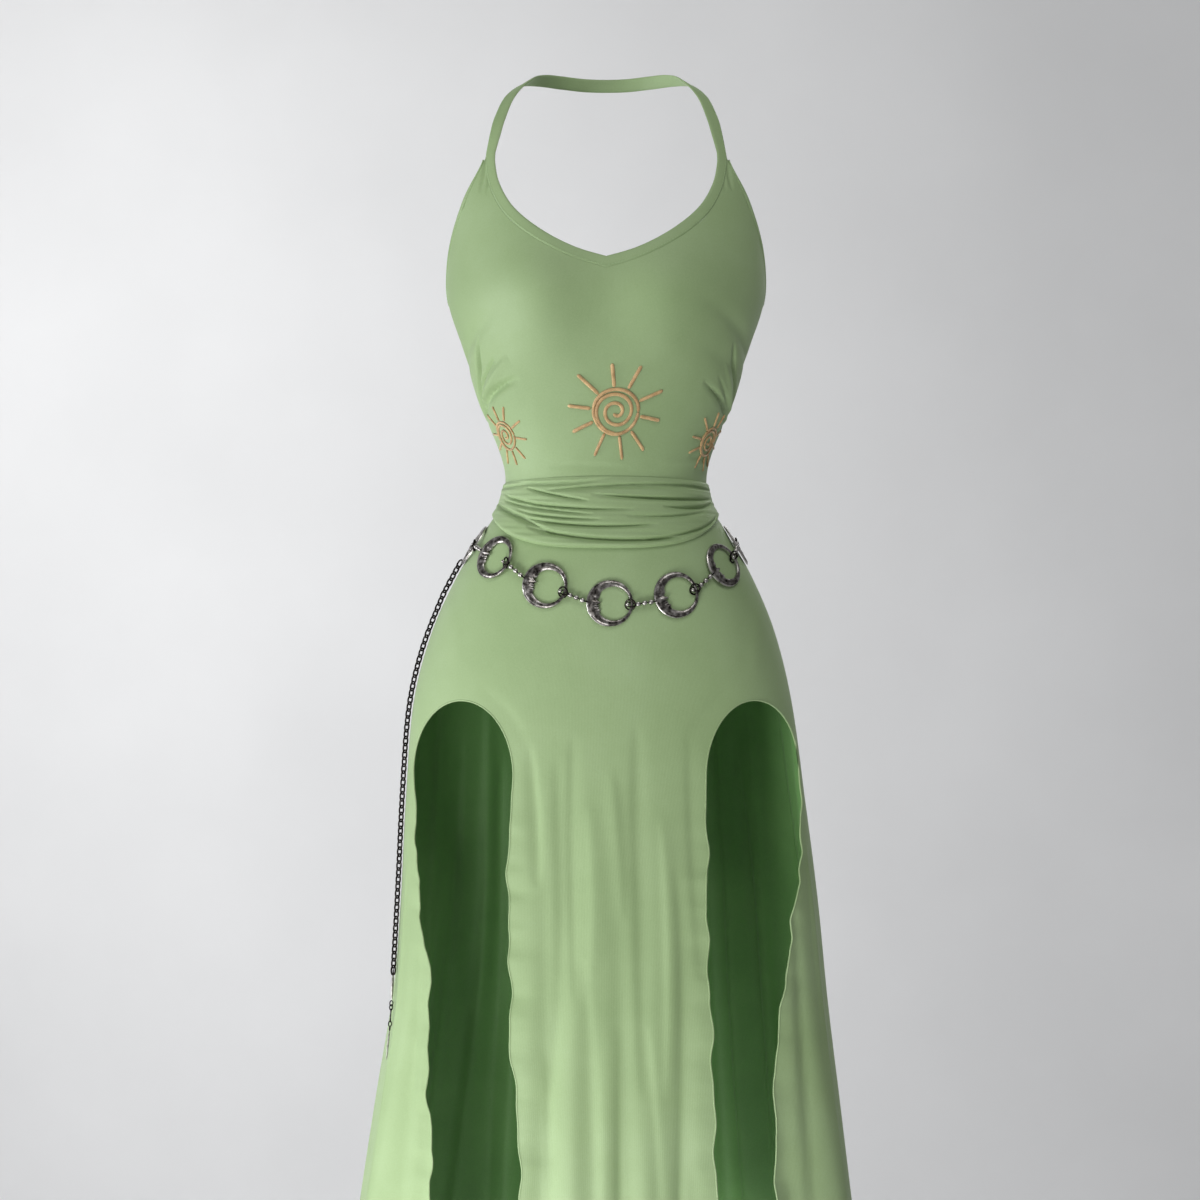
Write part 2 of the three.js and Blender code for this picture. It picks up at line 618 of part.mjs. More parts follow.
// A corded sun: a spiral of cord with a ring round it and straight rays
function sun({ angle, z, size }) {
  const round = formPoint(angle + 1, z).distanceTo(formPoint(angle - 1, z)) / 2;
  const placeAt = ([u, v]) => [angle + (u * size) / round, z + v * size];
  const rise = SUN.rise * Math.sqrt(size);
  const steps = Math.round(12 * SUN.turns);
  const spiral = [];
  for (let i = 0; i <= steps; i++) {
    const turn = (SUN.start * Math.PI) / 180 + (i / steps) * SUN.turns * 2 * Math.PI;
    const radius = 1.4 + (SUN.radius - 1.4) * (i / steps) ** 0.94;
    spiral.push([radius * Math.cos(turn), radius * Math.sin(turn)]);
  }
  const pieces = [cordOnCloth(spiral, placeAt, SUN.cord, rise)];
  const around = 12;
  const ring = [];
  for (let i = 0; i <= around; i++) {
    const turn = (i / around) * 2 * Math.PI * 0.985;
    ring.push([SUN.radius * Math.cos(turn), SUN.radius * Math.sin(turn)]);
  }
  pieces.push(cordOnCloth(ring, placeAt, SUN.cord, rise * 1.05));
  for (let k = 0; k < SUN.rays; k++) {
    const turn = ((k + 0.72) / SUN.rays) * 2 * Math.PI;
    const far = SUN.rayOut * (k % 2 ? 1 : 0.94);
    const ray = [SUN.rayIn, (SUN.rayIn + far) / 2, far].map((r) => [r * Math.cos(turn), r * Math.sin(turn)]);
    pieces.push(cordOnCloth(ray, placeAt, SUN.cord * 1.05, rise * 1.1));
  }
  return joined(pieces);
}

// Height of the belt's line round the hips
const beltHeight = (degrees) => valueAt(BELT_LINE, 'z', turnBetween(degrees, 0), 'angle');

// Angles evenly spaced along the belt's line, half a turn each way from the front
function beltAngles(count) {
  const fine = 720;
  const lengths = [0];
  const degrees = (k) => BELT.start + (k / fine) * 360;
  const at = (k) => offsetPoint(degrees(k), beltHeight(degrees(k)), CLOTH);
  for (let k = 1; k <= fine; k++) lengths.push(lengths[k - 1] + at(k).distanceTo(at(k - 1)));
  return Array.from({ length: count }, (_, n) => {
    const wanted = (n / count) * lengths[fine];
    return degrees(lengths.findIndex((length) => length >= wanted));
  });
}

// A frame on the cloth at a place of the belt: x along the belt, z out of the cloth
function beltFrame(degrees) {
  const z = beltHeight(degrees);
  const normal = formNormal(degrees, z);
  const ahead = formPoint(degrees + 2, beltHeight(degrees + 2)).sub(formPoint(degrees - 2, beltHeight(degrees - 2)));
  const across = normal.clone().cross(ahead).normalize();
  const along = across.clone().cross(normal).normalize();
  return new THREE.Matrix4().makeBasis(along, across, normal).setPosition(offsetPoint(degrees, z, CLOTH));
}

// How far a set of points must move along a direction to stand clear of the cloth everywhere
function liftToClear(points, direction) {
  let lift = -Infinity;
  for (const p of points) {
    const across = (p.x - valueAt(SECTIONS, 'sway', p.z)) / valueAt(SECTIONS, 'half', p.z);
    const ahead = -p.y / valueAt(SECTIONS, p.y < 0 ? 'front' : 'back', p.z);
    let degrees = THREE.MathUtils.radToDeg(Math.atan2(across, ahead));
    let best = Infinity;
    for (let pass = 0; pass < 3; pass++) {
      const spread = 6 / 4 ** pass;
      const centre = degrees;
      for (let k = -4; k <= 4; k++) {
        const far = offsetPoint(centre + (k * spread) / 4, p.z, CLOTH).distanceTo(p);
        if (far < best) [best, degrees] = [far, centre + (k * spread) / 4];
      }
    }
    const normal = formNormal(degrees, p.z);
    const above = p.clone().sub(offsetPoint(degrees, p.z, CLOTH)).dot(normal);
    lift = Math.max(lift, (SEAM + 0.25 - above) / Math.max(normal.dot(direction), 0.5));
  }
  return lift;
}

// A flat crescent ring: a disc with a round hole to one side, and an eye on the broad side
function crescentGeometry() {
  const disc = new THREE.Shape().absarc(0, 0, BELT.outer, 0, 2 * Math.PI);
  disc.holes.push(new THREE.Path().absarc(BELT.offset, 0, BELT.hole, 0, 2 * Math.PI, true));
  const flat = new THREE.ExtrudeGeometry(disc, { depth: BELT.thick, bevelEnabled: false, curveSegments: 10 });
  return mergeVertices(stripped(flat), 1e-4);
}

function stripped(geometry) {
  geometry.deleteAttribute('normal');
  geometry.deleteAttribute('uv');
  return geometry;
}

const cornersOf = (geometry, matrix) => {
  const p = geometry.getAttribute('position');
  return Array.from({ length: p.count }, (_, i) => new THREE.Vector3().fromBufferAttribute(p, i).applyMatrix4(matrix));
};

// A short string of beads along +X from the origin
function beadGeometry(length) {
  const profile = [new THREE.Vector2(0, 0)];
  const pitch = length / BEAD.count;
  for (let k = 0; k < BEAD.count; k++) {
    profile.push(new THREE.Vector2(BEAD.neck, k * pitch));
    profile.push(new THREE.Vector2(BEAD.radius, (k + 0.3) * pitch));
    profile.push(new THREE.Vector2(BEAD.radius, (k + 0.7) * pitch));
  }
  profile.push(new THREE.Vector2(BEAD.neck, length), new THREE.Vector2(0, length));
  const lathe = new THREE.LatheGeometry(profile, 6);
  lathe.rotateZ(-Math.PI / 2);
  return facingOut(mergeVertices(stripped(lathe), 1e-4));
}

function moved(geometry, matrix) {
  const copy = geometry.clone().applyMatrix4(matrix);
  copy.computeVertexNormals();
  return copy;
}

// The belt's rings, each lying on the hips, and the beads between each two neighbours
function belt() {
  const pieces = [];
  const angles = beltAngles(BELT.rings);
  const ringShape = crescentGeometry();
  const frames = angles.map((degrees) => {
    const frame = beltFrame(degrees);
    const normal = new THREE.Vector3().setFromMatrixColumn(frame, 2);
    const lift = liftToClear(cornersOf(ringShape, frame), normal);
    return frame.clone().setPosition(new THREE.Vector3().setFromMatrixPosition(frame).addScaledVector(normal, lift));
  });
  frames.forEach((frame, n) => pieces.push({ name: `moon_ring_${n + 1}`, geometry: moved(ringShape, frame) }));
  frames.forEach((frame, n) => {
    const next = frames[(n + 1) % frames.length];
    const rim = (matrix, x) => new THREE.Vector3(x, 0, BELT.thick / 2).applyMatrix4(matrix);
    const start = rim(frame, BELT.outer);
    const end = rim(next, -BELT.outer);
    const along = end.clone().sub(start).normalize();
    start.addScaledVector(along, 2 * SEAM);
    end.addScaledVector(along, -2 * SEAM);
    const shape = beadGeometry(start.distanceTo(end));
    const out = new THREE.Vector3().setFromMatrixColumn(frame, 2).add(new THREE.Vector3().setFromMatrixColumn(next, 2));
    const across = out.clone().cross(along).normalize();
    const normal = along.clone().cross(across).normalize();
    const place = new THREE.Matrix4().makeBasis(along, across, normal).setPosition(start);
    const lift = Math.max(0, liftToClear(cornersOf(shape, place), normal));
    place.setPosition(start.addScaledVector(normal, lift));
    pieces.push({ name: `bead_link_${n + 1}`, geometry: moved(shape, place) });
  });
  return pieces;
}

// The hanging chain, a row of rounded beads
function dropChain() {
  const seat = CLOTH + LIFT + CHAIN.radius;
  const line = new THREE.CatmullRomCurve3(CHAIN_LINE.map(({ angle, z }) => offsetPoint(angle, z, seat)));
  const steps = Math.round(line.getLength() / CHAIN.step);
  const { sides } = CHAIN;
  const points = [];
  for (let i = 0; i <= steps; i++) {
    const centre = line.getPointAt(i / steps);
    const along = line.getTangentAt(i / steps);
    const out = new THREE.Vector3(0, 1, 0).cross(along).normalize();
    const side = along.clone().cross(out).normalize();
    const radius = i % 2 ? CHAIN.radius : CHAIN.waist;
    for (let k = 0; k < sides; k++) {
      const turn = ((k + 0.5) / sides) * 2 * Math.PI;
      points.push(centre.clone().addScaledVector(out, radius * Math.cos(turn)).addScaledVector(side, radius * Math.sin(turn)));
    }
  }
  const triangles = [];
  for (let i = 0; i < steps; i++) {
    for (let k = 0; k < sides; k++) {
      const [a, b] = [i * sides + k, i * sides + ((k + 1) % sides)];
      triangles.push([a, b, b + sides], [a, b + sides, a + sides]);
    }
  }
  const end = steps * sides;
  for (let k = 1; k < sides - 1; k++) triangles.push([0, k + 1, k], [end, end + k, end + k + 1]);
  return facingOut(meshFrom(points, triangles));
}

const dress = new THREE.Group();
dress.position.set(0, -NAPE_DEPTH, 0);

function addPiece(name, geometry, material) {
  const mesh = new THREE.Mesh(geometry, material);
  mesh.name = name;
  dress.add(mesh);
}

addPiece('bodice_front', bodiceFront(), jersey);
addPiece('bodice_back', bodiceBack(), jersey);
addPiece('halter_binding', halterBinding(), jersey);
addPiece('back_binding', backBinding(), jersey);
addPiece('waist_wrap', waistWrap(), jersey);
addPiece('skirt_front', skirtFront(), jersey);
addPiece('skirt_back', skirtBack(), jersey);
SUNS.forEach((place) => addPiece(place.name, sun(place), thread));
belt().forEach(({ name, geometry }) => addPiece(name, geometry, pewter));
addPiece('drop_chain', dropChain(), pewter);

const part = new THREE.Group();
part.add(dress);

export default part;
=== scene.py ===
"""Visual model of a jersey halter midi dress and its chain belt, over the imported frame.

Sizes are in millimetres, heights from the nape of the strap, and angles in degrees round the dress:
0 is the front, 90 the right side seam, 180 the back. Meshes are made in metres.
"""
import math

import bpy
import numpy as np
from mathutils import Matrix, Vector


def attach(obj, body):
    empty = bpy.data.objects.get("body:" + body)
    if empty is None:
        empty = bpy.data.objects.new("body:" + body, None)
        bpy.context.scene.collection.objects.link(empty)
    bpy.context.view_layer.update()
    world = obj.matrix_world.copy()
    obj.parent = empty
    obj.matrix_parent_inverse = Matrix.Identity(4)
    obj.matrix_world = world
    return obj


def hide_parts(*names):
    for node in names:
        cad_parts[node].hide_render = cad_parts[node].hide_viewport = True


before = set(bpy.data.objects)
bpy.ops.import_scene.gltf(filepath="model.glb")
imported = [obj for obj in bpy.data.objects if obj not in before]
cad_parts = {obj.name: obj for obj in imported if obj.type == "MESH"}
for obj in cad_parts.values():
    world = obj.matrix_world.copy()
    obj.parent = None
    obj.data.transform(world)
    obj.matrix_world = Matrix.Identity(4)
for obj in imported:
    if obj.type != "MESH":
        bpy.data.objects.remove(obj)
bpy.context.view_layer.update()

MM = 0.001


def table(columns, *rows):
    """Rows with named columns."""
    return [dict(zip(columns.split(), row)) for row in rows]


# Driving dimensions: CLOTH is the wall of the solids and SHELL_WALL that of the cloth shown here, SEAM
# the gap between two pieces, FULLNESS how far a section swells between front and side, NAPE_DEPTH how
# far the nape of the strap lies behind the middle of the form
CLOTH = 1.5
SHELL_WALL = 0.8
SEAM = 0.3
HEM = -1150
WAIST_SEAM = -386
FULLNESS = 0.12
NAPE_DEPTH = 50

# Half width and depths of the form from its middle, and how far it leans to the right side
SECTIONS = table(
    "z half front back sway",
    (-60, 130, 62, 74, 0), (-88, 134, 74, 80, 0),
    (-128, 139, 86, 86, 0), (-178, 142, 95, 87, 0),
    (-207, 140, 96, 84, 0), (-247, 127, 90, 77, 0),
    (-292, 114, 83, 71, 0), (-337, 95, 78, 67, 0),
    (-362, 89, 76, 66, 0), (-386, 92, 79, 71, -0.3),
    (-410, 106, 86, 81, -0.7), (-450, 130, 94, 96, -1.4),
    (-500, 152, 98, 110, -2.4), (-562, 168, 99, 115, -3),
    (-652, 178, 99, 117, -0.5), (-742, 186, 101, 122, 3),
    (-832, 194, 105, 130, 4), (-922, 206, 109, 138, 3),
    (-1160, 237, 119, 158, 1),
)
CUP = {"across": 64, "z": -212, "wide": 46, "tall": 52, "rise": 15}
# Soft pulls from the side seams to the cups, then the folds that open towards the hem
DRAG_FOLDS = table(
    "angle z slope length width depth",
    (66, -238, -0.9, 24, 8, 2.8),
    (58, -262, -0.6, 18, 8, 1.8),
    (-66, -240, 0.9, 24, 8, 3.0),
    (-58, -264, 0.6, 18, 8, 1.8),
)
SKIRT_FOLDS = table(
    "angle drift z width depth",
    (-15, 3, -600, 3.0, -8), (-7, 2, -690, 3.4, 5),
    (3, 1, -640, 2.6, -6), (9, -1, -700, 3.0, 5),
    (16, -2, -740, 2.4, -6), (-52, -5, -760, 5, -8),
    (-70, -3, -700, 6, 9), (50, 5, -740, 5, -8),
    (68, 3, -690, 6, 9), (98, 0, -660, 7, -9),
    (116, -2, -620, 7, 12), (134, 2, -650, 7, -11),
    (152, 0, -600, 7, 13), (170, 1, -640, 7, -12),
    (188, -1, -600, 7, 12), (206, 0, -630, 7, -12),
    (225, 2, -610, 7, 13), (243, -2, -660, 7, -10),
    (260, 0, -640, 7, 10),
)
NECK_SEAM = table(
    "angle z", (52.4, -80), (51.4, -92), (47.4, -112), (38.8, -137), (26, -160), (12.5, -177), (0, -186.5)
)
ARM_SEAM = table(
    "angle z",
    (52.4, -80), (54.6, -92), (59.3, -109), (65, -128), (71.4, -147), (78.5, -168), (84.5, -189), (90, -207),
)
BACK_SEAM = table("angle z", (90, -207), (112, -215), (146, -231), (180, -238))
# Places of the strap's middle line and the way its outside faces
STRAP = table(
    "x y z nx ny nz",
    (97.5, -45, -63, 0.42, -0.82, 0.38), (93.2, -38, -46, 0.42, -0.76, 0.5),
    (84.5, -26, -25, 0.46, -0.58, 0.68), (71, -8, -10, 0.6, -0.25, 0.76),
    (58, 14, -3, 0.82, 0.2, 0.53), (40, 36, 0, 0.7, 0.7, 0.2),
    (20, 47, 0, 0.32, 0.94, 0.08), (0, 50, 0, 0, 1, 0),
)
NECK_BAND = {"width": 10, "strap": 12, "thick": 2.2}
ARM_BAND = {"width": 5, "thick": 1.9}
# A binding is a folded strip: its wall, how far it laps into the seam, the roundness of its section,
# and how far in from the seam its stitches run, as a share of its width
BAND = {"wall": 0.35, "tuck": 0.25, "round": 0.62, "stitches": 0.16}
STITCH = {"pitch": 2.9, "length": 2.1, "radius": 0.2}
# Places of the slits' edges sideways from the middle, then the arch that closes them
SLITS = table(
    "z outer_left inner_left inner_right outer_right",
    (-625, -170, -80, 86, 171),
    (-680, -167, -83, 86, 173),
    (-742, -163, -85, 87, 166),
    (-800, -155, -82, 89, 156),
    (-860, -156, -81, 90, 150),
    (-945, -155, -75, 94, 148),
    (-1160, -153, -70, 98, 147),
)
ARCH = {"z": -625, "top": -560}
# The slits' wavy edges: how far they go sideways and out, how far below the arch each wave is full,
# and how far in from the edge the outward one fades
EDGE_WAVE = {"pitch": 74, "side": 2.0, "side_full": 60, "out": 1.3, "out_full": 90, "fade": 12}
HEM_ROLL = 0.85
WRAP = {
    "front_top": -365, "side_top": -368, "front_end": -428, "side_end": -399, "back_end": -404,
    "gap": 1.2, "thin": 1.6, "swell": 3.0, "behind": 0.8, "side_loss": 0.65, "pad": 0.25, "least": 0.12,
}
# Local radii that turn angles into lengths on the cloth
GIRTH = {"wrap": 100, "bodice": 115, "edges": 130, "skirt": 150}

# Creases are strokes on the cloth, from one place to another: bow is how far the middle goes to the
# left of its way, and a negative depth is a trough
STROKE = "angle z to_angle to_z bow width depth"
WRAP_CREASES = table(
    STROKE,
    (-66, -366, 14, -361.5, -6.8, 1.5, -3.6), (-34, -377.5, 80, -375, 3.7, 1.6, -4.2),
    (-48, -374.2, -9, -387.3, -0.9, 1.3, -3.2), (-8, -381.1, 74, -384.3, -2.4, 1.5, -3.8),
    (-70, -379.7, 14, -395.3, -4.6, 1.4, -3.6), (30, -393.1, 74, -388.5, -2.6, 1.5, -3.6),
    (-68, -385.4, -6, -399.8, -1.6, 1.3, -3.2), (-50, -395.4, -2, -403.9, -2.2, 1.2, -3.2),
    (-52, -398.1, 25, -407.7, -5.7, 1.4, -3.8), (-86, -388, -22, -416.6, 4.2, 1.6, -4.2),
    (-38, -410.1, 38, -418.6, -6.4, 1.7, -4.6), (18, -420.6, 72, -400.2, -3, 1.5, -3.6),
    (10, -401.1, 58, -397.4, -2.2, 1.4, -2.4), (-86, -372.5, -40, -369.5, -1.2, 1.4, -2),
    (84, -380, 176, -384, 1.5, 1.8, -3.4), (150, -377, 262, -381, 1.5, 1.8, -3.5),
    (92, -390, 200, -395, -1.6, 1.7, -3.2), (168, -389, 268, -391, -1.2, 1.6, -3),
    (110, -372, 160, -373, 0.6, 1.4, -2), (200, -371.5, 246, -373.5, 0.6, 1.4, -2),
)
BODICE_CREASES = table(
    STROKE,
    (-53, -78, -53, -114, 1.2, 1.7, -2), (-49.5, -86, -49, -116, 0.9, 1.5, -1.5),
    (-59, -93, -65, -128, -1.1, 1.7, -2), (-50, -88, -41, -125, 0, 2, -1.3),
    (53, -78, 53, -112, -1.1, 1.6, -1.8), (49.5, -86, 49, -114, -0.8, 1.5, -1.3),
    (59, -95, 65, -127, 0.6, 1.7, -1.7), (-89, -310, -61, -240, -5.3, 2.6, -6.2),
    (-82, -302, -53, -260, 1.6, 1.9, -4), (-78, -300, -44, -260, -1.9, 3.8, 3),
    (-99, -319, -40, -278, 3.3, 3.2, -5.8), (98, -318, 46, -281, 1.8, 2.8, -4.6),
    (94, -308, 55, -275, 6, 2, -2.2), (88, -301, 61, -246, 3.4, 2.4, -3.4),
    (95, -312, 59, -263, 6.2, 3, 1.6), (30, -352, 86, -357, 3, 3.4, 0.8),
    (36, -347, 84, -351, 2.4, 3, -0.7), (-34, -355, 14, -358, 1.5, 3, -0.6),
)
SKIRT_CREASES = table(
    STROKE,
    (-78, -470, -50, -530, 10, 9, 0.8), (78, -470, 52, -540, -10, 9, 0.9),
    (-40, -548, -22, -600, 6, 7, -0.8), (42, -548, 24, -600, -6, 7, -0.8),
    (-21.5, -598, -19.5, -720, 2, 4.5, -2.2), (-13.5, -610, -14.5, -900, 3, 7, -2.6),
    (-8.8, -590, -9, -820, -2, 4.6, -1.7), (-4.5, -650, -5, -800, 2, 6, 1.8),
    (2, -620, 3, -750, 1, 5, 1.6), (9.6, -580, 8.4, -900, -3, 5.2, -2.2),
    (15.5, -660, 14, -900, 2, 5, 2), (18.5, -700, 16.5, -1020, 3, 5.4, -2.2),
    (25.5, -590, 24, -800, -2, 5.6, -1.8), (-7.5, -780, -4, -1140, 4, 6.6, -2.8),
    (0.5, -840, 1, -1130, -2, 7, 2.4), (8.5, -840, 11, -1140, 3, 5.4, -2.6),
    (-18, -860, -15, -1130, 3, 6, 2.4), (20, -960, 18, -1140, 2, 5, -2.2),
    (-62, -760, -56, -1130, 4, 6, -3), (-76, -700, -72, -1130, 3, 5, 2.4),
    (60, -740, 55, -1130, -4, 5.5, -3), (74, -690, 70, -1130, -3, 5, 2.4),
)
SKIRT_BACK_CREASES = table(
    STROKE,
    (98, -560, 101, -1140, 5, 8.1, -4), (112, -520, 109, -1150, 4, 8.1, 4.5),
    (128, -560, 126, -1150, 6, 8.8, -5.5), (136, -600, 134, -1150, -4, 6.8, 5.5),
    (141, -560, 143, -1150, 4, 6.8, -6.5), (149, -620, 150, -1150, 3, 7.4, 4.5),
    (158, -520, 161, -1150, 4, 8.1, -5), (171, -560, 168, -1150, -5, 9.5, 4.5),
    (183, -540, 185, -1150, 4, 8.1, -5.5), (196, -600, 193, -1150, -4, 8.1, 5),
    (205, -560, 207, -1150, 4, 6.8, -5.5), (213, -620, 211, -1150, 3, 6.8, 5.5),
    (219, -560, 221, -1150, -4, 7.4, -6.5), (229, -600, 227, -1150, 4, 6.8, 5),
    (240, -540, 243, -1150, 4, 8.1, -4.5), (256, -580, 254, -1150, 4, 8.1, 4.5),
)

SUNS = table(
    "name angle z size",
    ("sun_centre", 4.5, -309, 1),
    ("sun_left", -62, -327, 0.63),
    ("sun_right", 67, -332, 0.63),
)
SUN = {
    "radius": 19.4, "eye": 2.0, "turns": 2.15, "start": 216, "cord": 3.1, "rise": 1.6,
    "rays": 10, "first_ray": 26, "ray_in": 21.6, "ray_out": 43,
}

BELT = {"rings": 12, "start": 2, "outer": 20.2, "hole": 14.6, "offset": 3.1, "thick": 1.8}
BELT_LINE = table(
    "angle z",
    (-180, -436), (-130, -431), (-85, -425), (-50, -436.5), (-23, -459.5), (2, -475.5),
    (27, -468), (52, -444.5), (85, -425), (130, -431), (180, -436),
)
CHAIN = {"seat": 3.55, "pitch": 6.2, "long": 4.3, "wide": 2.4, "wire": 0.8, "first": 1.5, "curb_end": 78}
# The chain's lower end, measured back from its last point: a bar, small links and a thin bar
CHAIN_BARS = table("begin reach thick", (76, 24, 1.35), (26, 27, 0.8))
SMALL_LINKS = {"begin": 49, "end": 29, "pitch": 3.6}
CHAIN_LINE = table(
    "angle z",
    (-87, -441.6), (-87.5, -455), (-87, -475), (-86, -520), (-86, -570),
    (-85.5, -640), (-84.5, -720), (-81.5, -800), (-77, -848), (-73.5, -880),
)


# The form of the dress

def ease(t):
    t = np.clip(t, 0, 1)
    return t * t * (3 - 2 * t)


def bell(t):
    return np.exp(-np.square(t))


def full_turn(count):
    return np.linspace(0, 2 * math.pi, count, endpoint=False)


def value_at(rows, key, at, by="z"):
    """A smooth value between the rows of a table, sorted by one of its columns."""
    rows = sorted(rows, key=lambda row: row[by])
    place = np.array([row[by] for row in rows], float)
    value = np.array([row[key] for row in rows], float)
    before = np.maximum(np.arange(len(rows)) - 1, 0)
    after = np.minimum(np.arange(len(rows)) + 1, len(rows) - 1)
    slope = (value[after] - value[before]) / (place[after] - place[before])
    at = np.clip(np.asarray(at, float), place[0], place[-1])
    i = np.clip(np.searchsorted(place, at), 1, len(rows) - 1)
    span = place[i] - place[i - 1]
    t = (at - place[i - 1]) / span
    rise = (1 + 2 * t) * (1 - t) ** 2 * value[i - 1] + t * t * (3 - 2 * t) * value[i]
    return rise + span * (t * (1 - t) ** 2 * slope[i - 1] - t * t * (1 - t) * slope[i])


def turn_between(a, b):
    """The shortest way round from angle b to angle a."""
    return (np.asarray(a) - b + 540) % 360 - 180


def run_along(line):
    """The length along a polyline at each of its points."""
    return np.r_[0, np.cumsum(np.linalg.norm(np.diff(line, axis=0), axis=1))]


def between(at, run, values):
    """Rows of values at places along a run."""
    return np.stack([np.interp(at, run, values[:, k]) for k in range(values.shape[1])], -1)


def fold_shift(degrees, z):
    """How far the folds move the cloth outwards."""
    shift = np.zeros(np.broadcast(degrees, z).shape)
    for fold in SKIRT_FOLDS:
        down = np.clip((z - fold["z"]) / (HEM - fold["z"]), 0, 1)
        away = turn_between(degrees, fold["angle"] - fold["drift"] * (1 - down))
        shift += fold["depth"] * ease(down) * bell(away / fold["width"])
    for fold in DRAG_FOLDS:
        along = turn_between(degrees, fold["angle"])
        across = z - fold["z"] - fold["slope"] * along
        shift -= fold["depth"] * bell(along / fold["length"]) * bell(across / fold["width"])
    return shift


def form(degrees, z):
    """Points of the body side of the cloth, in millimetres."""
    degrees, z = np.broadcast_arrays(np.asarray(degrees, float), np.asarray(z, float))
    s, c = np.sin(np.radians(degrees)), np.cos(np.radians(degrees))
    shift = fold_shift(degrees, z)
    x = (value_at(SECTIONS, "half", z) + shift) * s + value_at(SECTIONS, "sway", z)
    depth = np.where(c > 0, value_at(SECTIONS, "front", z), value_at(SECTIONS, "back", z)) + shift
    y = -depth * c * (1 + FULLNESS * s * s)
    reach = CUP["rise"] * bell((z - CUP["z"]) / CUP["tall"]) * ease(3 * c)
    y = y - reach * (bell((x - CUP["across"]) / CUP["wide"]) + bell((x + CUP["across"]) / CUP["wide"]))
    return np.stack([x, y, z], -1)


def unit(v):
    return v / np.maximum(np.linalg.norm(v, axis=-1, keepdims=True), 1e-12)


def form_normal(degrees, z):
    """Outward normals of the cloth."""
    round_step, up_step = 0.8, 1.5
    across = form(degrees + round_step, z) - form(degrees - round_step, z)
    up = form(degrees, z + up_step) - form(degrees, z - up_step)
    return unit(np.cross(across, up))


def on_cloth(degrees, z, out):
    """Points that far out of the body side of the cloth."""
    degrees, z = np.asarray(degrees, float), np.asarray(z, float)
    return form(degrees, z) + form_normal(degrees, z) * np.asarray(out, float)[..., None]


def creases(rows, degrees, z, girth):
    """How far the strokes of a crease table move the cloth outwards; girth is the local radius."""
    relief = np.zeros(np.broadcast(degrees, z).shape)
    for row in rows:
        scale = math.radians(1) * girth
        start = np.array([0.0, row["z"]])
        end = np.array([(row["to_angle"] - row["angle"]) * scale, row["to_z"]])
        chord = end - start
        length = np.linalg.norm(chord)
        along = chord / length
        across = np.array([-along[1], along[0]])
        du = turn_between(degrees, row["angle"]) * scale
        if row["to_angle"] > 180:
            du = np.where(du < -0.25 * math.pi * girth, du + 2 * math.pi * girth, du)
        dz = z - row["z"]
        t = (du * along[0] + dz * along[1]) / length
        off = du * across[0] + dz * across[1] - row["bow"] * 4 * t * (1 - t)
        inside = np.clip(4 * t * (1 - t), 0, 1) ** 0.6
        steep_above, soft_below = 0.75, 1.5
        side = np.where(off * across[1] > 0, steep_above, soft_below)
        width = row["width"] * (0.6 + 0.4 * inside) * side
        relief += row["depth"] * inside * bell(off / width)
    return relief


def angle_across(x, z):
    """The angle at which the front of the form is that far to the side."""
    share = (x - value_at(SECTIONS, "sway", z)) / value_at(SECTIONS, "half", z)
    return np.degrees(np.arcsin(np.clip(share, -1, 1)))


def keep_seam(degrees, z, behind=False):
    """Keeps an edge half a seam's gap clear of the side seams."""
    half = np.degrees(SEAM / 2 / (value_at(SECTIONS, "front", z) * (1 + FULLNESS)))
    low, high = (90 + half, 270 - half) if behind else (-90 + half, 90 - half)
    return np.clip(degrees, low, high)


def spline(points, per_segment=24):
    """A fine polyline through points, as a uniform Catmull-Rom spline."""
    p = np.array(points, float)
    p = np.vstack([p[:1], p, p[-1:]])
    t = np.linspace(0, 1, per_segment, endpoint=False)[:, None]
    leaving, arriving = 2 * t**3 - 3 * t**2 + 1, 3 * t**2 - 2 * t**3
    slope_out, slope_in = t**3 - 2 * t**2 + t, t**3 - t**2
    pieces = []
    for before, start, end, after in zip(p, p[1:], p[2:], p[3:]):
        bend = slope_out * (end - before) / 2 + slope_in * (after - start) / 2
        pieces.append(leaving * start + arriving * end + bend)
    return np.vstack([*pieces, p[-1:]])


def evenly(line, steps):
    """A polyline again, with its points evenly spaced."""
    run = run_along(line)
    return between(np.linspace(0, run[-1], steps + 1), run, line)


def seam_line(rows, steps):
    """Evenly spaced [angle, height] places along a seam table."""
    per_degree = 2.2
    line = evenly(spline([(row["angle"] * per_degree, row["z"]) for row in rows]), steps)
    return line / [per_degree, 1]


# Meshes and pieces

def to_row(points):
    """Local millimetres to metres of the row's frame."""
    return (np.asarray(points, float) - [0, NAPE_DEPTH, 0]) * MM


def add_object(name, data):
    made = bpy.data.objects.new(name, data)
    bpy.context.scene.collection.objects.link(made)
    return made


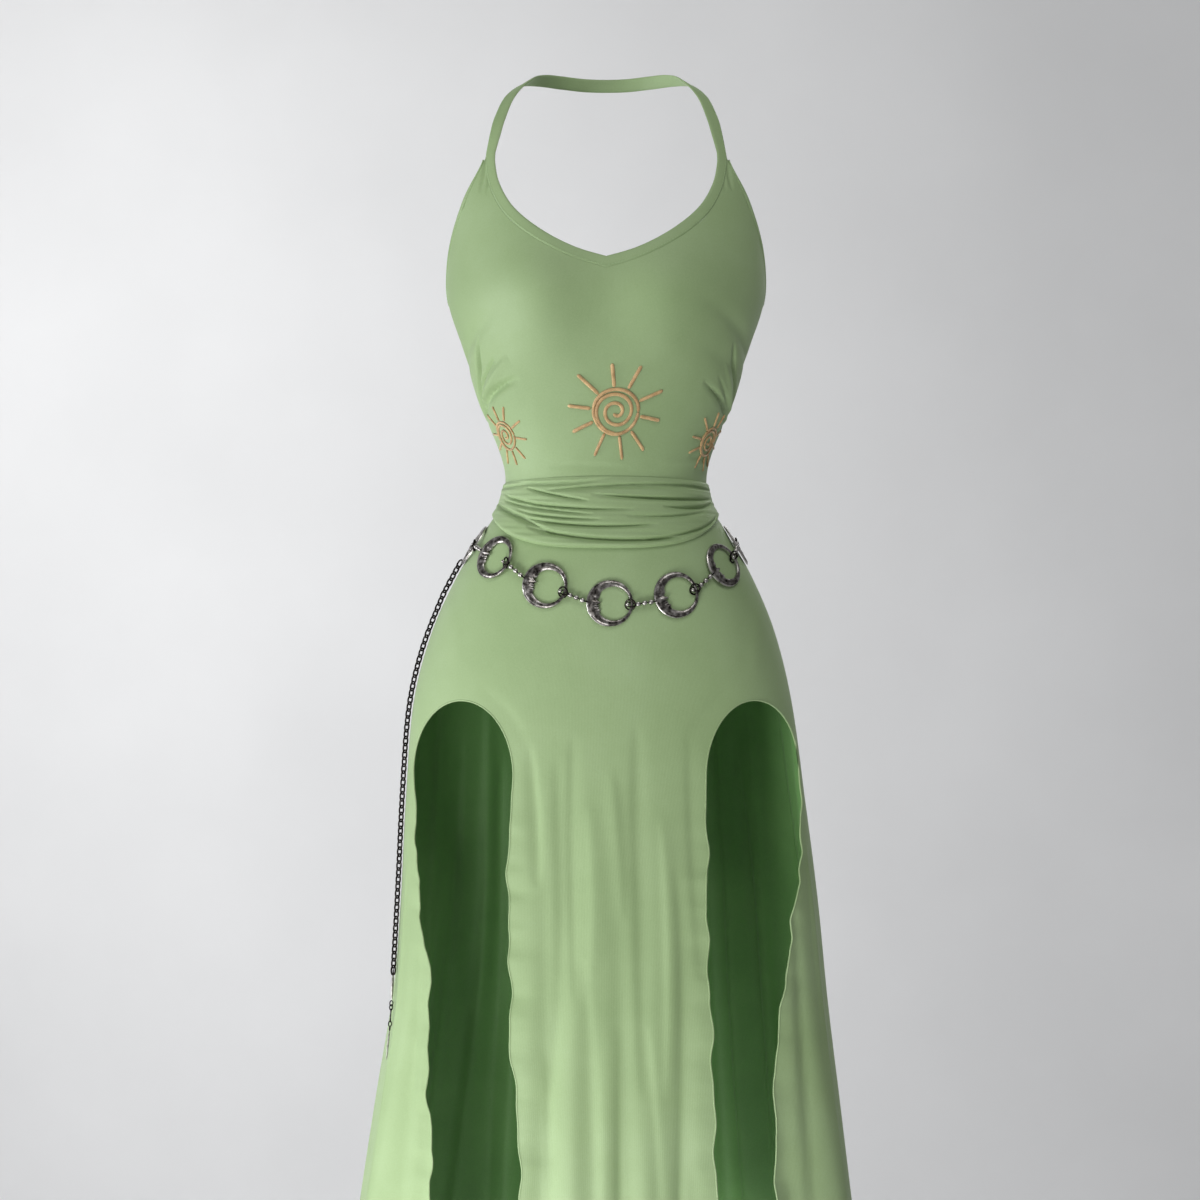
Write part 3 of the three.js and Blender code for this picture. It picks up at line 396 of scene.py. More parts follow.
def make_piece(name, points, faces, material, replaces=(), uv=None, sharp=50, inside=None):
    """A mesh object that rides on the dress; faces index the points, and uv is one pair a point.

    inside is a second material and which faces have it.
    """
    mesh = bpy.data.meshes.new(name)
    mesh.from_pydata(to_row(points).tolist(), [], [list(face) for face in faces])
    mesh.validate()
    if uv is not None:
        layer = mesh.uv_layers.new(name="UVMap")
        corner = np.empty(len(mesh.loops), int)
        mesh.loops.foreach_get("vertex_index", corner)
        layer.data.foreach_set("uv", np.asarray(uv, float)[corner].ravel())
    mesh.shade_smooth()
    mesh.set_sharp_from_angle(angle=math.radians(sharp))
    mesh.materials.append(material)
    if inside is not None:
        mesh.materials.append(inside[0])
        mesh.polygons.foreach_set("material_index", np.asarray(inside[1], np.int32))
    piece = add_object(name, mesh)
    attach(piece, "root")
    if replaces:
        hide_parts(*replaces)
    return piece


def shell(outer, inner, keep=None, closed=False):
    """Points and quads of a wall between two grids of points, with a rim round every open edge."""
    rows, columns = outer.shape[0], outer.shape[1]
    count = rows * columns
    index = np.arange(count).reshape(rows, columns)
    if closed:
        index = np.hstack([index, index[:, :1]])
    quads = np.stack([index[:-1, :-1], index[1:, :-1], index[1:, 1:], index[:-1, 1:]], -1)
    quads = quads[keep] if keep is not None else quads.reshape(-1, 4)
    edges = np.vstack([quads[:, [k, (k + 1) % 4]] for k in range(4)])
    forward = edges[:, 0] * count + edges[:, 1]
    backward = edges[:, 1] * count + edges[:, 0]
    rim = edges[~np.isin(forward, backward)]
    sides = np.stack([rim[:, 1], rim[:, 0], rim[:, 0] + count, rim[:, 1] + count], -1)
    faces = np.vstack([quads, quads[:, ::-1] + count, sides])
    wrong_side = np.r_[np.zeros(len(quads)), np.ones(len(quads)), np.zeros(len(sides))]
    used, faces = np.unique(faces, return_inverse=True)
    points = np.vstack([outer.reshape(-1, 3), inner.reshape(-1, 3)])[used]
    return points, faces.reshape(-1, 4), used, wrong_side


def cloth_piece(name, degrees, z, relief, keep=None, closed=False, inside=None):
    """A thin shell on the dress's form, over grids of angles and heights.

    relief is how far its outside stands beyond that of the solid. Its inner side lies a shell's wall
    in from there, or, where inside is given, everywhere that far out of the form.
    """
    normal = form_normal(degrees, z)
    base = form(degrees, z)
    outer = base + normal * (CLOTH + relief)[..., None]
    within = CLOTH - SHELL_WALL + relief if inside is None else inside + 0 * relief
    inner = base + normal * within[..., None]
    points, faces, used, wrong_side = shell(outer, inner, keep, closed)
    flat = np.stack([np.radians(degrees) * GIRTH["bodice"], z], -1).reshape(-1, 2)
    uv = np.vstack([flat, flat])[used] * MM
    # The inner skin's faces take the deeper green of painted shade
    painted_shade_inside = (JERSEY_INSIDE_PAINTED_SHADE, wrong_side)
    piece = make_piece(name + "_cloth", points, faces, JERSEY, [name], uv, inside=painted_shade_inside)
    return piece, outer


def swept_faces(count, sides, closed=False):
    """Faces round a swept section, with a flat face at each end unless it is closed."""
    faces = []
    for i in range(count if closed else count - 1):
        a, b = i * sides, ((i + 1) % count) * sides
        faces += [[a + k, a + (k + 1) % sides, b + (k + 1) % sides, b + k] for k in range(sides)]
    if not closed:
        faces.append(list(range(sides))[::-1])
        faces.append([(count - 1) * sides + k for k in range(sides)])
    return faces


def tube(path, radius, sides=8, closed=False, *, out):
    """Points and faces of a round tube along a path; out is the way that its section's top faces."""
    path = np.asarray(path, float)
    count = len(path)
    if closed:
        along = unit(np.roll(path, -1, 0) - np.roll(path, 1, 0))
    else:
        along = unit(np.gradient(path, axis=0))
    side = unit(np.cross(along, np.broadcast_to(out, (count, 3))))
    up = np.cross(side, along)
    turn = full_turn(sides)[None, :, None]
    ring = side[:, None] * np.cos(turn) + up[:, None] * np.sin(turn)
    points = (path[:, None] + ring * radius).reshape(-1, 3)
    return points, swept_faces(count, sides, closed)


def merged(parts):
    """Several (points, faces) pairs as one."""
    points, faces, start = [], [], 0
    for part_points, part_faces in parts:
        points.append(part_points)
        faces += [[start + k for k in face] for face in part_faces]
        start += len(part_points)
    return np.vstack(points), faces


# Materials

class Recipe:
    """A new material and short ways to add nodes to it."""

    def __init__(self, name):
        self.material = bpy.data.materials.new(name)
        self.material.use_nodes = True
        self.nodes = self.material.node_tree.nodes
        self.links = self.material.node_tree.links
        self.shader = self.nodes["Principled BSDF"]
        self.place = self.nodes.new("ShaderNodeTexCoord").outputs

    def cloth_run(self):
        """The two coordinates along the cloth, in metres."""
        split = self.nodes.new("ShaderNodeSeparateXYZ")
        self.links.new(self.place["UV"], split.inputs[0])
        return split.outputs[0], split.outputs[1]

    def noise(self, scale, detail=2):
        made = self.nodes.new("ShaderNodeTexNoise")
        made.inputs["Scale"].default_value = scale
        made.inputs["Detail"].default_value = detail
        self.links.new(self.place["Object"], made.inputs["Vector"])
        return made.outputs["Fac"]

    def maths(self, operation, *values):
        made = self.nodes.new("ShaderNodeMath")
        made.operation = operation
        for socket, value in zip(made.inputs, values):
            if isinstance(value, bpy.types.NodeSocket):
                self.links.new(value, socket)
            else:
                socket.default_value = value
        return made.outputs[0]

    def ramp(self, factor, *stops):
        """A colour that changes with a factor, from (place, colour) stops."""
        made = self.nodes.new("ShaderNodeValToRGB")
        elements = made.color_ramp.elements
        while len(elements) < len(stops):
            elements.new(0.5)
        for element, (place, colour) in zip(elements, stops):
            element.position = place
            element.color = (*colour, 1)
        self.links.new(factor, made.inputs[0])
        return made.outputs[0]

    def bump(self, height, strength, distance, under=None):
        """A bumped normal, over another one where it is given; distance is in millimetres."""
        made = self.nodes.new("ShaderNodeBump")
        made.inputs["Strength"].default_value = strength
        made.inputs["Distance"].default_value = distance * MM
        self.links.new(height, made.inputs["Height"])
        if under is not None:
            self.links.new(under, made.inputs["Normal"])
        return made.outputs[0]

    def feed(self, socket, value):
        self.links.new(value, self.shader.inputs[socket])


def jersey_material(name, deep, main, pale, knit_depth=0.12):
    """Fine single jersey: mottled dye, columns of small V stitches and a soft bloom."""
    recipe = Recipe(name)
    maths = recipe.maths
    fibre = recipe.noise(900, 3)
    blend = maths("MULTIPLY_ADD", fibre, 0.28, 0.0)
    blend = maths("MULTIPLY_ADD", recipe.noise(9, 5), 0.72, blend)
    recipe.feed("Base Color", recipe.ramp(blend, (0.34, deep), (0.5, main), (0.66, pale)))

    wale, course, slant = 0.85 * MM, 0.62 * MM, 1.3
    round_way, down_way = recipe.cloth_run()
    away = maths("ABSOLUTE", maths("SUBTRACT", maths("FRACT", maths("DIVIDE", round_way, wale)), 0.5))
    slanted = maths("SUBTRACT", maths("DIVIDE", down_way, course), maths("MULTIPLY", away, slant))
    loop = maths("SINE", maths("MULTIPLY", slanted, 2 * math.pi))
    column = maths("COSINE", maths("MULTIPLY", away, 2 * math.pi))
    knit = maths("MULTIPLY_ADD", loop, 0.35, maths("MULTIPLY", column, -0.5))
    knit = maths("MULTIPLY_ADD", fibre, 0.5, knit)
    fine = recipe.bump(knit, 0.35, knit_depth)
    recipe.feed("Normal", recipe.bump(recipe.noise(55, 4), 0.25, 0.7, under=fine))
    shader = recipe.shader
    shader.inputs["Roughness"].default_value = 0.62
    shader.inputs["Specular IOR Level"].default_value = 0.5
    shader.inputs["Sheen Weight"].default_value = 0.14
    shader.inputs["Sheen Roughness"].default_value = 0.4
    shader.inputs["Sheen Tint"].default_value = (0.86, 0.95, 0.8, 1)
    return recipe.material


def thread_material():
    """Satin stitched cord: fine threads across each stroke."""
    recipe = Recipe("satin_cord")
    maths = recipe.maths
    thread_pitch = 0.42 * MM
    phase = maths("DIVIDE", recipe.cloth_run()[0], thread_pitch)
    phase = maths("MULTIPLY_ADD", recipe.noise(700), 0.5, phase)
    ridge = maths("ABSOLUTE", maths("SINE", maths("MULTIPLY", phase, math.pi)))
    # The colour mixes a random tone with each thread's ridge: darker between the threads is painted shade
    # and lighter on their crests is painted highlight
    blend = maths("MULTIPLY_ADD", recipe.noise(160), 0.55, maths("MULTIPLY", ridge, 0.45))
    shade, gold, shine = (0.14, 0.07, 0.025), (0.43, 0.24, 0.088), (0.82, 0.56, 0.27)
    recipe.feed("Base Color", recipe.ramp(blend, (0.2, shade), (0.48, gold), (0.76, shine)))
    recipe.feed("Normal", recipe.bump(ridge, 0.7, 0.12))
    shader = recipe.shader
    shader.inputs["Roughness"].default_value = 0.42
    shader.inputs["Sheen Weight"].default_value = 0.3
    return recipe.material


def metal_material():
    """Antiqued pewter: bright where it is rubbed, dark in its hollows."""
    recipe = Recipe("antiqued_pewter")
    shape = recipe.nodes.new("ShaderNodeNewGeometry")
    cloud = recipe.noise(260, 6)
    worn = recipe.maths("MULTIPLY_ADD", cloud, 0.24, shape.outputs["Pointiness"])
    worn = recipe.maths("SUBTRACT", worn, 0.12)
    tarnish, grey, bright = (0.015, 0.012, 0.011), (0.16, 0.145, 0.135), (0.5, 0.48, 0.46)
    recipe.feed("Base Color", recipe.ramp(worn, (0.45, tarnish), (0.5, grey), (0.57, bright)))
    recipe.feed("Roughness", recipe.ramp(cloud, (0.3, (0.24,) * 3), (0.7, (0.46,) * 3)))
    recipe.feed("Normal", recipe.bump(cloud, 0.3, 0.15))
    recipe.shader.inputs["Metallic"].default_value = 1
    return recipe.material


def wall_material(name, colour):
    """Painted wall with a faint cloudiness."""
    recipe = Recipe(name)
    dark = tuple(0.95 * channel for channel in colour)
    recipe.feed("Base Color", recipe.ramp(recipe.noise(1.6, 4), (0.35, dark), (0.65, colour)))
    recipe.shader.inputs["Roughness"].default_value = 0.95
    return recipe.material


JERSEY = jersey_material("green_jersey", (0.265, 0.375, 0.172), (0.3, 0.415, 0.2), (0.335, 0.455, 0.235))
# A deeper, more saturated green for the inner skin of every cloth piece: painted shade for the shade inside
# the dress, not a colour of the cloth's reverse
JERSEY_INSIDE_PAINTED_SHADE = jersey_material(
    "green_jersey_inside_painted_shade", (0.11, 0.26, 0.07), (0.14, 0.31, 0.09), (0.17, 0.35, 0.11)
)
THREAD = thread_material()
METAL = metal_material()
SEWING = jersey_material("sewing_thread", (0.3, 0.44, 0.2), (0.38, 0.52, 0.27), (0.46, 0.6, 0.35), 0.05)


# Cloth pieces

def bodice_panel(name, top, t, sides):
    """A panel from its top edge, a row of [angle, height] places, down to the waist seam."""
    z = top[None, :, 1] + (WAIST_SEAM + SEAM - top[None, :, 1]) * t[:, None]
    even = np.linspace(*sides, len(top))[None]
    degrees = top[None, :, 0] + (even - top[None, :, 0]) * ease(t)[:, None]
    degrees = keep_seam(degrees, z, behind=sides[1] > 180)
    relief = creases(BODICE_CREASES, degrees, z, GIRTH["bodice"])
    piece, _ = cloth_piece(name, degrees, z, relief)


def bodice_front():
    neck = seam_line(NECK_SEAM, 46)[1:][::-1]
    right = np.vstack([neck, seam_line(ARM_SEAM, 46)])
    left = (right * [-1, 1])[::-1]
    down = np.linspace(0, 1, 151) ** 0.95
    bodice_panel("bodice_front", np.vstack([left, right[1:]]), down, (-90, 90))


def bodice_back():
    right = seam_line(BACK_SEAM, 65)
    left = (right[:-1] * [-1, 1] + [360, 0])[::-1]
    down = np.linspace(0, 1, 81)
    bodice_panel("bodice_back", np.vstack([right, left]), down, (90, 270))


def edge_wave(z, phase):
    """An uneven wave down a slit's edge, from three waves of different pitch."""
    turn = z / EDGE_WAVE["pitch"] * 2 * math.pi
    wave = 0.6 * np.sin(turn + phase) + 0.45 * np.sin(0.43 * turn + 2.1 * phase)
    return wave + 0.3 * np.sin(1.9 * turn + 3.3 * phase)


def skirt_front():
    strip, arch, tail, above, below = 22, 40, 72, 70, 150
    marks = np.cumsum([0, strip, arch, tail, arch, strip])
    columns = marks[-1]
    j = np.arange(columns + 1)

    def foot_places(z):
        fade = EDGE_WAVE["side"] * ease((ARCH["z"] - z) / EDGE_WAVE["side_full"])
        stops = [-90.0]
        for phase, edge in enumerate(("outer_left", "inner_left", "inner_right", "outer_right")):
            stops.append(float(angle_across(value_at(SLITS, edge, z) + fade * edge_wave(z, 1.9 * phase), z)))
        return np.interp(j, marks, [*stops, 90.0])

    feet = foot_places(ARCH["z"])
    end_z = np.full(columns + 1, float(ARCH["z"]))
    end_angle = feet.copy()
    slit_ends = ((marks[1], ("outer_left", "inner_left")), (marks[3], ("inner_right", "outer_right")))
    for start, ends in slit_ends:
        low, high = (float(value_at(SLITS, edge, ARCH["z"])) for edge in ends)
        turn = math.pi * np.arange(1, arch) / arch
        z = ARCH["z"] + (ARCH["top"] - ARCH["z"]) * np.sin(turn)
        end_z[start + 1:start + arch] = z
        x = (low + high) / 2 - (high - low) / 2 * np.cos(turn)
        end_angle[start + 1:start + arch] = angle_across(x, z)

    t = np.linspace(0, 1, above + 1)[:, None]
    even = np.linspace(-90, 90, columns + 1)[None]
    upper_z = WAIST_SEAM - SEAM + (end_z[None] - WAIST_SEAM + SEAM) * t**1.3
    upper_angle = even + (end_angle[None] - even) * ease(t)
    lower_heights = np.linspace(ARCH["z"], HEM, below + 1)[1:]
    lower_angle = np.array([foot_places(z) for z in lower_heights])
    lower_z = np.repeat(lower_heights[:, None], columns + 1, 1)
    z = np.vstack([upper_z, lower_z])
    degrees = keep_seam(np.vstack([upper_angle, lower_angle]), z)

    keep = np.ones((above + below, columns), bool)
    keep[above:, marks[1]:marks[2]] = False
    keep[above:, marks[3]:marks[4]] = False

    relief = creases(SKIRT_CREASES, degrees, z, GIRTH["skirt"])
    hang = ease((ARCH["z"] - z) / EDGE_WAVE["out_full"])
    for phase, mark in enumerate(marks[1:5]):
        from_edge = np.abs(degrees - degrees[:, mark:mark + 1]) * math.radians(GIRTH["edges"])
        flutter = edge_wave(z * 1.7, 2.3 * phase) + 0.5 * edge_wave(z * 3.1, phase)
        relief = relief + EDGE_WAVE["out"] * hang * flutter * bell(from_edge / EDGE_WAVE["fade"])
    piece, outer = cloth_piece("skirt_front", degrees, z, relief, keep)
    hems = []
    for first, second in ((marks[1], marks[2]), (marks[3], marks[4])):
        up, across, down = outer[:above:-1, first], outer[above, first:second + 1], outer[above + 1:, second]
        hems.append(np.vstack([up, across, down]))
    slit_hems(hems)


def slit_hems(paths):
    """Narrow rolled hems along the slits."""
    parts = []
    for path in paths:
        line = evenly(path, int(len(path) * 1.6))
        normal = unit(np.stack([line[:, 0] * 0.55, line[:, 1], 0 * line[:, 2]], -1))
        parts.append(tube(line - normal * (SHELL_WALL / 2), HEM_ROLL, out=normal))
    points, faces = merged(parts)
    uv = points[:, [0, 2]] * MM
    return make_piece("slit_hems", points, faces, JERSEY, uv=uv)


def skirt_back():
    rows, columns = 150, 280
    t = (np.linspace(0, 1, rows + 1) ** 1.2)[:, None]
    z = WAIST_SEAM - SEAM + (HEM - WAIST_SEAM + SEAM) * t + np.zeros((1, columns + 1))
    degrees = keep_seam(np.linspace(90, 270, columns + 1)[None] + 0 * z, z, behind=True)
    relief = creases(SKIRT_BACK_CREASES, degrees, z, GIRTH["skirt"])
    piece, _ = cloth_piece("skirt_back", degrees, z, relief)


def waist_wrap():
    rows, columns = 84, 480
    degrees = np.linspace(-90, 270, columns, endpoint=False)[None] + np.zeros((rows + 1, 1))
    side = np.sin(np.radians(degrees)) ** 2
    ahead = np.cos(np.radians(degrees)) > 0
    top = WRAP["front_top"] + (WRAP["side_top"] - WRAP["front_top"]) * side
    end = np.where(ahead, WRAP["front_end"], WRAP["back_end"])
    end = end + (WRAP["side_end"] - end) * side**1.6
    t = np.linspace(0, 1, rows + 1)[:, None] + 0 * degrees
    z = top + (end - top) * t
    swell = WRAP["swell"] * ease(t * 3) * np.where(ahead, 1, WRAP["behind"])
    swell = WRAP["thin"] + swell * (1 - WRAP["side_loss"] * side**2)
    rounding = np.sqrt(np.clip(1 - (1 - np.minimum(1, (1 - t) * 17)) ** 2, 0, 1)) * ease(t * 12 + 0.25)
    radians = np.radians(degrees)
    pads = WRAP["pad"] * np.sin(z * 1.05 + radians * 2.4) * np.sin(radians * 3 + z * 0.21)
    folds = creases(WRAP_CREASES, degrees, z, GIRTH["wrap"]) * ease(t * 9) * ease((1 - t) * 14)
    body = (swell + pads * ease(t * 4)) * rounding + folds
    relief = WRAP["gap"] * 0.35 + np.maximum(body, WRAP["least"])
    piece, _ = cloth_piece("waist_wrap", degrees, z, relief, closed=True, inside=CLOTH + 0.1)


# Bindings and stitching

def band_section(steps=14):
    """A flattened round section of width and thickness 1, as [across, out] pairs from one edge."""
    turn = full_turn(steps)
    across_and_out = np.stack([np.cos(turn), np.sin(turn)], -1)
    return 0.5 + 0.5 * np.sign(across_and_out) * np.abs(across_and_out) ** BAND["round"]


def band_stations(line, width, thick):
    """Edge points, directions across and normals of a binding along a seam line."""
    degrees, z = line[:, 0], line[:, 1]
    points = form(degrees, z)
    along = np.gradient(points, axis=0)
    normal = form_normal(degrees, z)
    across = unit(np.cross(normal, along))
    tuck = BAND["tuck"]
    edge = points + across * (SEAM - tuck) + normal * ((CLOTH - thick) / 2 + tuck)
    return edge, across, normal, np.full(len(line), float(width))


def band_piece(name, edge, across, normal, width, thick, closed):
    """A strip folded round an edge: its outside and, one wall in, its inside."""
    section = band_section()
    sides = len(section)
    count = len(edge)
    skins = []
    for inset in (0, BAND["wall"]):
        reach = inset + section[None, :, 0] * (width[:, None] - 2 * inset)
        rise = inset + section[None, :, 1] * (thick - 2 * inset) + 0 * reach
        skin = edge[:, None] + across[:, None] * reach[..., None] + normal[:, None] * rise[..., None]
        skins.append(skin.reshape(-1, 3))
    walls = swept_faces(count, sides, closed)
    if not closed:
        walls = walls[:-2]
    inner = count * sides
    faces = [[a, d, c, b] for a, b, c, d in walls] + [[inner + k for k in face] for face in walls]
    if not closed:
        last = inner - sides
        for k in range(sides):
            m = (k + 1) % sides
            faces.append([k, m, inner + m, inner + k])
            faces.append([last + k, inner + last + k, inner + last + m, last + m])
    flat_width, sunk = 10, 0.97
    flat = np.stack([np.tile(section[:, 0] * flat_width, count), np.repeat(run_along(edge), sides)], -1)
    uv = np.tile(flat, (2, 1)) * MM
    row = edge + normal * thick * sunk + across * (BAND["stitches"] * width)[:, None]
    stitches = stitch_row(name + "_stitches", row, normal, closed)
    piece = make_piece(name + "_cloth", np.vstack(skins), faces, JERSEY, [name], uv)


def stitch_row(name, path, normal, closed):
    """Small stitches along a path, lying on the cloth."""
    if closed:
        path, normal = np.vstack([path, path[:1]]), np.vstack([normal, normal[:1]])
    run = run_along(path)
    pitch, length = STITCH["pitch"], STITCH["length"]
    arc = np.array([-0.12, 0.1, 0.16, 0.1, -0.12])[:, None]
    parts = []
    for start in np.arange(pitch / 2, run[-1] - length, pitch):
        at = start + length * np.linspace(0, 1, len(arc))
        up = unit(between(at, run, normal))
        parts.append(tube(between(at, run, path) + up * arc, STITCH["radius"], 5, out=up))
    points, faces = merged(parts)
    return make_piece(name, points, faces, SEWING, uv=points[:, [0, 2]] * MM)


def halter_binding():
    neck_line = seam_line(NECK_SEAM, 60)[::-1]
    edge, across, normal, width = band_stations(neck_line, NECK_BAND["width"], NECK_BAND["thick"])
    across[0] = unit(np.cross(normal[0], [1.0, 0, 0]))
    root = edge[-1] + across[-1] * width[-1] / 2
    places = np.vstack([root, [[s["x"], s["y"], s["z"]] for s in STRAP]])
    leans = np.vstack([normal[-1], unit(np.array([[s["nx"], s["ny"], s["nz"]] for s in STRAP]))])
    per = 12
    count = len(places)
    line = spline(np.vstack([places, places[-2:-3:-1] * [-1, 1, 1]]), per)[:(count - 1) * per + 1]
    at = np.linspace(0, count - 1, len(line))
    lean = unit(between(at, np.arange(count), leans))
    along = unit(np.gradient(line, axis=0))
    along[-1] = [-1, 0, 0]
    side = unit(np.cross(lean, along))
    wide = NECK_BAND["width"] + (NECK_BAND["strap"] - NECK_BAND["width"]) * ease(at / 2)
    strap_edge = line - side * (wide / 2)[:, None]
    edge = np.vstack([edge, strap_edge[1:]])
    across = np.vstack([across, side[1:]])
    normal = np.vstack([normal, lean[1:]])
    width = np.r_[width, wide[1:]]
    flip = np.array([-1, 1, 1])
    mirror = slice(-2, 0, -1)
    edge, across, normal = (np.vstack([rows, rows[mirror] * flip]) for rows in (edge, across, normal))
    width = np.r_[width, width[mirror]]
    thick = NECK_BAND["thick"]
    band_piece("halter_binding", edge, across, normal, width, thick, True)


def back_binding():
    right = seam_line(ARM_SEAM, 56)[2:]
    back = seam_line(BACK_SEAM, 60)[1:]
    half = np.vstack([right, back])
    other = (half[:-1] * [-1, 1] + [360, 0])[::-1]
    thick = ARM_BAND["thick"]
    edge, across, normal, width = band_stations(np.vstack([half, other]), ARM_BAND["width"], thick)
    from_tip = np.minimum(np.arange(len(edge)), np.arange(len(edge))[::-1])
    width = width * (0.2 + 0.8 * ease(from_tip / 16))
    band_piece("back_binding", edge, across, normal, width, thick, False)


# Corded suns

def cord_stroke(line, place_at, width, rise):
    """A domed cord along a line of local [u, v] places, with UVs that run along it."""
    line = np.asarray(line, float)
    along = unit(np.gradient(line, axis=0))
    side = np.stack([-along[:, 1], along[:, 0]], -1)
    count = len(line)
    turn = np.linspace(0, math.pi, 8)
    offsets = np.r_[-np.cos(turn), 0.6, -0.6] * width / 2
    heights = np.r_[np.sin(turn) ** 0.8 * rise, -0.35, -0.35]
    run = run_along(line)
    taper = np.sqrt(np.clip(np.minimum(run, run[-1] - run) / (0.45 * width), 0.1, 1))
    sides = len(offsets)
    local = line[:, None] + side[:, None] * (offsets[None] * taper[:, None])[..., None]
    out = CLOTH + heights[None] * np.where(heights[None] > 0, taper[:, None], 1)
    degrees, z = place_at(local[..., 0], local[..., 1])
    points = on_cloth(degrees, z, out).reshape(-1, 3)
    uv = np.stack([np.repeat(run, sides), np.tile(offsets, count)], -1) * MM
    return points, swept_faces(count, sides), uv


def sun(name, angle, z, size):
    """A corded sun: a spiral, a circle round it and slightly uneven rays."""
    middle = np.array(float(z))
    near, far = form(np.array(angle - 1.0), middle), form(np.array(angle + 1.0), middle)
    per_degree = float(np.linalg.norm(far - near)) / 2

    def place_at(u, v):
        return angle + u * size / per_degree, z + v * size

    def bent(radius, turn):
        return np.stack([radius * np.cos(turn), radius * np.sin(turn)], -1)

    turn = np.linspace(0, SUN["turns"] * 2 * math.pi, 190)
    inside_circle = 0.6
    reach = SUN["radius"] - inside_circle - SUN["eye"]
    radius = SUN["eye"] + reach * (turn / turn[-1]) ** 0.95
    strokes = [bent(radius, turn + math.radians(SUN["start"]))]
    strokes.append(bent(SUN["radius"], np.linspace(0, 2 * math.pi, 90)))
    for k in range(SUN["rays"]):
        turn = math.radians(SUN["first_ray"] + 360 / SUN["rays"] * k + 3 * math.sin(2.1 * k))
        foot = SUN["ray_in"] + 0.5 * math.sin(k * 1.7)
        tip = SUN["ray_out"] + 1.6 * math.sin(k * 2.6)
        strokes.append(bent(np.linspace(foot, tip, 24), turn))
    rise = SUN["rise"] * math.sqrt(size)
    made = [cord_stroke(stroke, place_at, SUN["cord"], rise) for stroke in strokes]
    points, faces = merged([part[:2] for part in made])
    uv = np.vstack([part[2] for part in made])
    make_piece(name + "_cord", points, faces, THREAD, [name], uv, 80)


# Belt

def belt_height(degrees):
    return value_at(BELT_LINE, "z", turn_between(degrees, 0), "angle")


def belt_angles(count):
    """The rings' angles, evenly spaced along the belt."""
    fine = BELT["start"] + np.linspace(0, 360, 721)
    run = run_along(on_cloth(fine, belt_height(fine), np.full(fine.shape, CLOTH)))
    return np.interp(np.arange(count) / count * run[-1], run, fine)


def node_points(name):
    """A CAD node's points, in local millimetres."""
    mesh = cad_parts[name].data
    points = np.empty(len(mesh.vertices) * 3)
    mesh.vertices.foreach_get("co", points)
    return points.reshape(-1, 3) / MM + [0, NAPE_DEPTH, 0]


def belt_frame(degrees, name):
    """Rows along, across and out of the belt at an angle, and the middle of that ring's seat."""
    degrees = np.array(float(degrees))
    z = belt_height(degrees)
    out = form_normal(degrees, z)
    step = 2.0
    ahead, behind = degrees + step, degrees - step
    across = unit(np.cross(out, form(ahead, belt_height(ahead)) - form(behind, belt_height(behind))))
    along = unit(np.cross(across, out))
    seat = on_cloth(degrees, z, np.array(CLOTH))
    lift = float(((node_points(name) - seat) @ out).min())
    return np.array([along, across, out]), seat + out * lift


def crescent():
    """Local points and faces of one ring: a domed crescent with a plain moon face in profile."""
    around, steps = 150, 13
    turn = full_turn(around)[:, None]
    s = np.linspace(0, 1, steps)[None]
    degrees = np.degrees(turn) % 360
    # Brow, nose, lips and chin stand into the hole on the broad side
    profile = table(
        "at reach wide", (158, 1.5, 9), (180, 4.6, 5.5), (193.5, 2.6, 3.2), (200.5, 2.3, 3.0), (211, 2.6, 6)
    )
    bump = sum(row["reach"] * bell((degrees - row["at"]) / row["wide"]) for row in profile)
    hole = BELT["hole"] - bump
    inner = np.stack([BELT["offset"] + hole * np.cos(turn), hole * np.sin(turn)], -1)
    outer = BELT["outer"] * np.stack([np.cos(turn), np.sin(turn)], -1)
    flat = inner + (outer - inner) * s[..., None]
    width = np.linalg.norm(outer - inner, axis=-1)
    dome = np.sin(math.pi * s) ** 0.55
    height = 1.0 + (0.5 + 0.11 * width) * dome
    height -= 0.45 * bell((s - 0.8) / 0.05) * ease((width - 4.2) / 2)
    broad = ease((width - 5.5) / 3)
    # Eye socket, eye, cheek, brow, nose, mouth and a small hollow on each side of the face
    features = table(
        "at place wide tall rise",
        (168, 0.42, 6, 0.13, -0.55),
        (169, 0.45, 2.6, 0.06, 0.85),
        (186, 0.5, 8, 0.16, 0.5),
        (158, 0.32, 7, 0.1, 0.45),
        (176, 0.12, 6, 0.12, 0.55),
        (197, 0.2, 2.2, 0.2, -0.5),
        (225, 0.5, 5, 0.12, -0.35),
        (140, 0.5, 5, 0.12, -0.35),
    )
    for row in features:
        spot = bell((degrees - row["at"]) / row["wide"]) * bell((s - row["place"]) / row["tall"])
        height += row["rise"] * broad * spot
    face = np.dstack([flat, height]).transpose(1, 0, 2)
    back = np.dstack([flat, 0 * height]).transpose(1, 0, 2)
    return shell(face, back, closed=True)[:2]


def ring_of_wire(centre, axis_a, axis_b, radius_a, radius_b, wire, around=26, sides=8):
    """A closed oval of wire in the plane of two axes."""
    turn = full_turn(around)[:, None]
    path = centre + axis_a * radius_a * np.cos(turn) + axis_b * radius_b * np.sin(turn)
    return tube(path, wire, sides, closed=True, out=np.cross(axis_a, axis_b))


